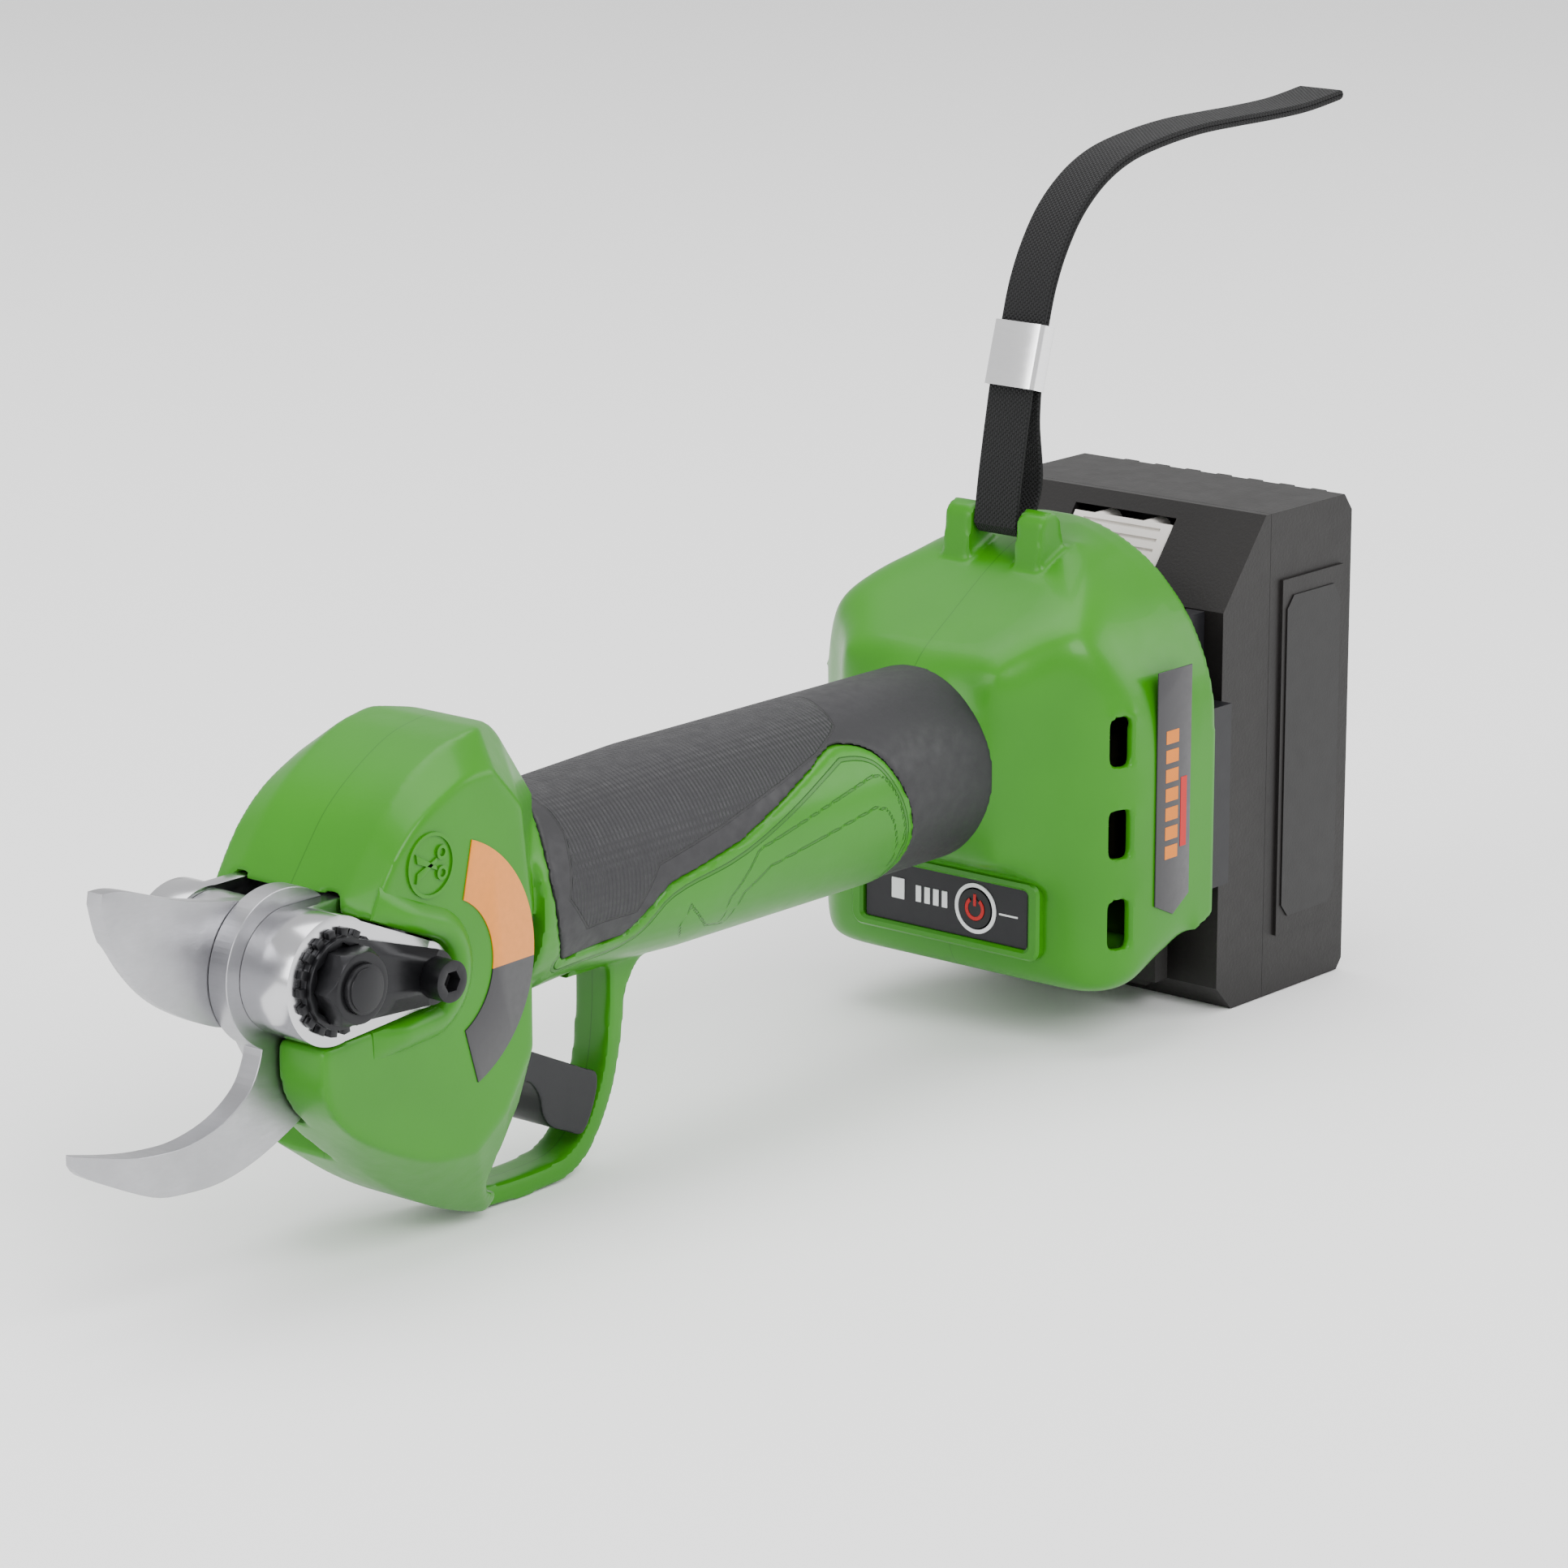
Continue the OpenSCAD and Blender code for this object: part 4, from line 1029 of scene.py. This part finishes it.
    def lip(self) -> None:
        """Builds the raised lip round the metal boss on the near flank."""
        arc = [(-181.6 + 10.3 * math.cos(a), -4.4 + 10.3 * math.sin(a))
               for a in (math.radians(66 - k * 11.5) for k in range(13))]
        lead_in = [(-195.0, 12.4), (-188.0, 9.3), (-181.5, 6.6)]
        lead_out = [(-184.5, -14.8), (-190, -15.2), (-196.5, -15.6)]
        path = spline(lead_in + arc + lead_out, 4)
        profile = [(-2.9, 0.6), (-2.7, -0.6), (-2.0, -1.6), (-0.8, -2.1), (0.8, -1.9), (2.6, -0.9),
                   (3.9, 0.6)]
        rings = []
        for i, (x, z) in enumerate(path):
            a, b = Vector(path[max(i - 1, 0)]), Vector(path[min(i + 1, len(path) - 1)])
            d = (b - a).normalized()
            rise = min(1.0, (min(i, len(path) - 1 - i) + 0.3) / 5)
            rings.append([at(x - d.y * u, -HEAD_FLANK + (h * rise if h < 0 else h), z + d.x * u)
                          for u, h in profile])
        as_object("boss_lip", skin_rings(rings, False), self.palette.get(PLAIN_GREEN), Body.TOOL)

    def badge(self) -> None:
        """Builds the round mark with plain shears on the near flank."""
        middle = at(-179.6, -HEAD_FLANK, 17.6)
        out = Vector((0, -1, 0))
        parts = [ring_arc(middle - out * 0.0003, out, 6.3, 0.35, 0.75)]
        for x, z in ((-176.6, 19.7), (-176.6, 15.5)):
            parts.append(ring_arc(at(x, -21.8, z), out, 1.15, 0.32, 0.7, steps=24))
        for blade in ([(-178.0, 18.9), (-178.2, 18.0), (-184.0, 14.6), (-183.6, 16.6)],
                      [(-178.0, 16.3), (-178.2, 17.2), (-184.0, 20.6), (-183.6, 18.6)]):
            parts.append(plate(blade, -HEAD_FLANK - 0.45, 0.7, 0.1))
        as_object("shears_mark", joined(parts), self.palette.get(PLAIN_GREEN), Body.TOOL)

    def build(self) -> None:
        """Builds both halves, the lip and the badge."""
        skin = self.skin()
        for side in Side:
            self.half(skin, side)
        bpy.data.meshes.remove(skin)
        self.lip()
        self.badge()


@dataclass
class Grip:
    """The rubber overmoulding round the handle."""

    palette: Palette
    voxel: float = 0.6
    pad: Tuple[Flat, ...] = ((-38.5, -8), (-39.9, 1.8), (-41.1, 6.1), (-42.2, 10.1), (-43.4, 12.9),
                             (-46.5, 14.9), (-53.9, 18.2), (-69.1, 22.3), (-90.1, 27.3), (-101.6, 29.6),
                             (-110.4, 31.4), (-116.6, 40.7), (-131.5, 41), (-138.0, 33), (-135.8, 25),
                             (-134.0, 19.1), (-133.7, 12.9), (-134.6, 7.8), (-136.5, -8))

    def build(self) -> None:
        """Builds the grip with its wrap map and the pad's border distance."""
        bm = copy_of("grip_left", "grip_right")
        for v in bm.verts:
            if abs(abs(v.co.y) - 0.00005) < 2e-5:
                v.co.y = -math.copysign(0.0005, v.co.y)
        mesh = softened(bm, self.voxel, 3)
        co = local_points(mesh)
        wall = unwrapped(co)
        outline = list(self.pad)
        d = distance_to(wall, outline, True)
        note(mesh, "pad", np.where(inside(wall, outline), d, -d))
        layer = mesh.uv_layers.new(name="wrap")
        index = np.zeros(len(mesh.loops), int)
        mesh.loops.foreach_get("vertex_index", index)
        angle = np.arctan2(co[:, 1], co[:, 2])
        wrap = np.stack([co[:, 0] * MM, angle * HANDLE_RADIUS * MM], axis=1)
        layer.data.foreach_set("uv", wrap[index].astype(np.float32).ravel())
        piece = finished("grip_overmould", mesh, self.palette.get(GripRubber()), Body.TOOL)
        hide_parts("grip_left", "grip_right")


@dataclass
class Hardware:
    """CAD pieces that keep their shape but get softened edges."""

    palette: Palette

    def soften(self, node: str, body: Body, finish: object, width: float) -> bpy.types.Object:
        """Rebuilds one node with rounded edges.

        Args:
            node: the CAD node.
            body: what it rides on.
            finish: its finish.
            width: the edge radius in millimetres.

        Returns:
            The piece.
        """
        mesh = with_modifiers(copy_of(node), [
            ("BEVEL", {"width": width * MM, "segments": 2, "limit_method": "ANGLE",
                       "angle_limit": BEVEL_ANGLE, "use_clamp_overlap": True, "profile": 0.5,
                       "harden_normals": False, "miter_outer": "MITER_ARC"}),
        ])
        piece = finished(node + "_edged", mesh, self.palette.get(finish), body)
        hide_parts(node)
        return piece

    def hook(self) -> None:
        """Rebuilds the fixed blade with the ground facet at its tip and softened edges."""
        bm = copy_of("fixed_blade")
        cut = bmesh.ops.bisect_plane(bm, geom=[*bm.verts, *bm.edges, *bm.faces], dist=MERGE,
                                     plane_co=at(-247.5, -9.0, -30), plane_no=Vector((-0.21, -0.978, 0.0)),
                                     clear_outer=True)["geom_cut"]
        rim = [g for g in cut if isinstance(g, bmesh.types.BMEdge)]
        bmesh.ops.triangle_fill(bm, use_beauty=True, edges=rim)
        mesh = with_modifiers(bm, [
            ("BEVEL", {"width": 0.25 * MM, "segments": 2, "limit_method": "ANGLE", "profile": 0.5,
                       "angle_limit": BEVEL_ANGLE, "use_clamp_overlap": True}),
        ])
        piece = finished("fixed_blade_edged", mesh, self.palette.get(BLADE_STEEL), Body.TOOL)
        mesh.set_sharp_from_angle(angle=math.radians(8))
        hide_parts("fixed_blade")

    def moulded(self, node: str, body: Body, finish: object, voxel: float) -> bpy.types.Object:
        """Rebuilds one node as a softened moulding.

        Args:
            node: the CAD node.
            body: what it rides on.
            finish: its finish.
            voxel: the size of its skin's grid in millimetres.

        Returns:
            The piece.
        """
        mesh = softened(copy_of(node), voxel, 3)
        piece = finished(node + "_moulded", mesh, self.palette.get(finish), body)
        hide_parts(node)
        return piece

    def build(self) -> None:
        """Softens the visible hardware."""
        self.hook()
        for node, body, finish, width, slot in (
            ("gear_case", Body.TOOL, BOSS_METAL, 0.7, "aluminium"),
            ("moving_blade", Body.BLADE, BLADE_STEEL, 0.2, "steel_blade"),
            ("pivot_bolt", Body.TOOL, BLACK_STEEL, 0.3, "black_steel"),
            ("pivot_nut", Body.TOOL, BLACK_STEEL, 0.2, "black_steel"),
            ("serrated_washer", Body.TOOL, BLACK_STEEL, 0.12, "black_steel"),
            ("lock_plate", Body.TOOL, BLACK_STEEL, 0.15, "black_steel"),
            ("lock_screw", Body.TOOL, BLACK_STEEL, 0.25, "black_steel"),
        ):
            self.soften(node, body, finish, width)
        self.moulded("trigger", Body.TRIGGER, TRIGGER_BLACK, 0.35)


@dataclass
class ControlFace:
    """The panel on the front of the housing: bezel, print and power button."""

    palette: Palette
    x: float = 11.3
    button: Flat = (-8.5, -34.8)

    def build(self) -> None:
        """Builds the bezel, the lights and the button's mark."""
        self.bezel()
        front = Vector((-1, 0, 0))
        centre = at(self.x - 0.45, *self.button)
        halo = ring_arc(centre + Vector((0.00045, 0, 0)), front, 5.35, 0.45, 0.25)
        as_object("button_halo", halo, self.palette.get(PRINT_WHITE), Body.TOOL)
        bars = [bar((self.x - 0.18, y - 0.75, -36.2), (self.x + 0.1, y + 0.75, -32.4), 0.05, 1)
                for y in (0.4, 2.9, 5.4, 7.9)]
        bars.append(bar((self.x - 0.18, 12.0, -36.4), (self.x + 0.1, 15.6, -31.6), 0.05, 1))
        bars.append(bar((self.x - 0.18, -20.4, -35.1), (self.x + 0.1, -15.2, -34.7), 0.05, 1))
        lights = as_object("panel_print", joined(bars), self.palette.get(PRINT_WHITE), Body.TOOL)
        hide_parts("panel_lights")
        mark = ring_arc(at(10.9, *self.button), front, 2.3, 0.42, 0.12, 35.0, 290.0)
        stem = bar((10.78, self.button[0] - 0.38, self.button[1] + 0.6),
                   (10.95, self.button[0] + 0.38, self.button[1] + 3.4), 0.04, 1)
        as_object("power_mark", joined([mark, stem]), self.palette.get(PRINT_RED), Body.BUTTON)

    def bezel(self) -> None:
        """Builds the raised green frame round the panel."""
        outer = self.rounded(26.8, 9.2, 3.0)
        inner = self.rounded(23.6, 6.9, 1.4)
        loops = []
        for line, x in ((outer, 12.6), (outer, 10.9), (self.rounded(26.2, 8.6, 2.5), 10.25),
                        (self.rounded(24.3, 7.5, 1.8), 10.25), (inner, 10.8), (inner, 12.2)):
            loops.append([at(x, y, z - 35.0) for y, z in line])
        as_object("panel_bezel", skin_rings(loops, True), self.palette.get(PLAIN_GREEN), Body.TOOL)

    def rounded(self, half_wide: float, half_tall: float, radius: float) -> List[Flat]:
        """A rounded rectangle's outline.

        Args:
            half_wide: half its width in millimetres.
            half_tall: half its height.
            radius: its corner radius.

        Returns:
            Y and Z of each point about its middle.
        """
        out = []
        for sy, sz, start in ((1, 1, 0), (-1, 1, 90), (-1, -1, 180), (1, -1, 270)):
            for k in range(7):
                a = math.radians(start + k * 15)
                out.append((sy * (half_wide - radius) + radius * math.cos(a),
                            sz * (half_tall - radius) + radius * math.sin(a)))
        return out


@dataclass
class Labels:
    """Printed films on the head and the housing."""

    palette: Palette

    def build(self) -> None:
        """Builds the films."""
        self.head()
        for side in Side:
            self.flank(side)

    def head(self) -> None:
        """Builds the curved film on the left of the head with its plain print."""
        centre = (-177.0, -5.0)
        outer = [(centre[0] + 27 * math.cos(math.radians(a)), centre[1] + 27 * math.sin(math.radians(a)))
                 for a in range(-68, 71, 3)]
        inner = [(centre[0] + 15 * math.cos(math.radians(a)), centre[1] + 15 * math.sin(math.radians(a)))
                 for a in range(64, -65, -4)]
        film = as_object("head_film", plate(outer + inner, -22.3, 0.28, 0.08), self.palette.get(HEAD_FILM),
                         Body.TOOL)
        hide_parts("head_label")

    def flank(self, side: Side) -> None:
        """Builds the film on one flank of the housing.

        Args:
            side: which flank.
        """
        outline = [(30.4, 21.2), (42.9, 21.2), (42.9, -31.4), (37.0, -35.2), (30.4, -32.2)]
        name = side.name.lower()
        film = as_object("flank_film_" + name, plate(outline, side.value * HOUSING_FLANK, 0.3, 0.08),
                         self.palette.get(SIDE_FILM), Body.TOOL)
        if side is Side.LEFT:
            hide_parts("housing_labels")
        face = side.value * 44.33
        low_y, high_y = sorted((face, face - side.value * 0.2))
        blocks = [bar((33.6, low_y, z), (38.2, high_y, z + 3.0), 0.03, 1)
                  for z in (-22.0, -17.6, -13.2, -8.8, -4.4, 0.0, 4.4)]
        as_object("flank_marks_" + name, joined(blocks), self.palette.get(PRINT_ORANGE),
                  Body.TOOL)
        strip = bar((39.2, low_y, -20.0), (41.4, high_y, -4.0), 0.03, 1)
        as_object("flank_strip_" + name, strip, self.palette.get(PRINT_RED), Body.TOOL)


@dataclass
class InnerParts:
    """Finishes for the CAD pieces that keep their own mesh."""

    palette: Palette

    def build(self) -> None:
        """Assigns a finish to every CAD node that shows its own mesh."""
        table: Dict[object, Tuple[str, ...]] = {
            BLACK_STEEL: ("shell_screws", "fixed_blade_screws", "sector_screws", "motor_can", "pack_screws"),
            GEAR_STEEL: ("sector_gear", "bevel_pinion", "pinion_bearing", "ring_gear", "stage1_carrier",
                         "stage1_planet_a", "stage1_planet_b", "stage1_planet_c", "stage2_planet_a",
                         "stage2_planet_b", "stage2_planet_c", "rotor_shaft", "rotor_core", "motor_bearings",
                         "trigger_pin", "trigger_spring", "trigger_magnet", "strap_bar", "latch_springs"),
            BRONZE: ("pivot_bush",),
            COPPER: ("stator",),
            LEAD_SLEEVE: ("motor_leads",),
            BOARD_GREEN: ("control_board", "sensor_board", "pack_board"),
            CONTACTS: ("tool_terminals", "pack_terminals"),
            CELL_WRAP: ("pack_cells",),
            TRIGGER_BLACK: ("power_parts", "battery_shoe", "cell_holder", "power_button"),
            PANEL_DARK: ("led_panel",),
            PACK_DARK: ("pack_upper_case", "pack_lower_case"),
            PACK_PANEL: ("pack_labels",),
            LATCH_PALE: ("pack_latch",),
        }
        for finish, nodes in table.items():
            for node in nodes:
                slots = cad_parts[node].data.materials
                if len(slots):
                    slots[0] = self.palette.get(finish)
                else:
                    slots.append(self.palette.get(finish))


def main() -> None:
    """Builds every sub-assembly and the studio."""
    logging.basicConfig(level=logging.INFO, format="%(message)s")
    palette = Palette()
    studio = Studio()
    studio.camera()
    for part in (WristStrap(palette), MouldedBody(palette), Grip(palette), Hardware(palette),
                 ControlFace(palette), Labels(palette), InnerParts(palette)):
        log.info("building %s", type(part).__name__)
        part.build()
    studio.floor()
    studio.lights()


if __name__ == "__main__":
    main()
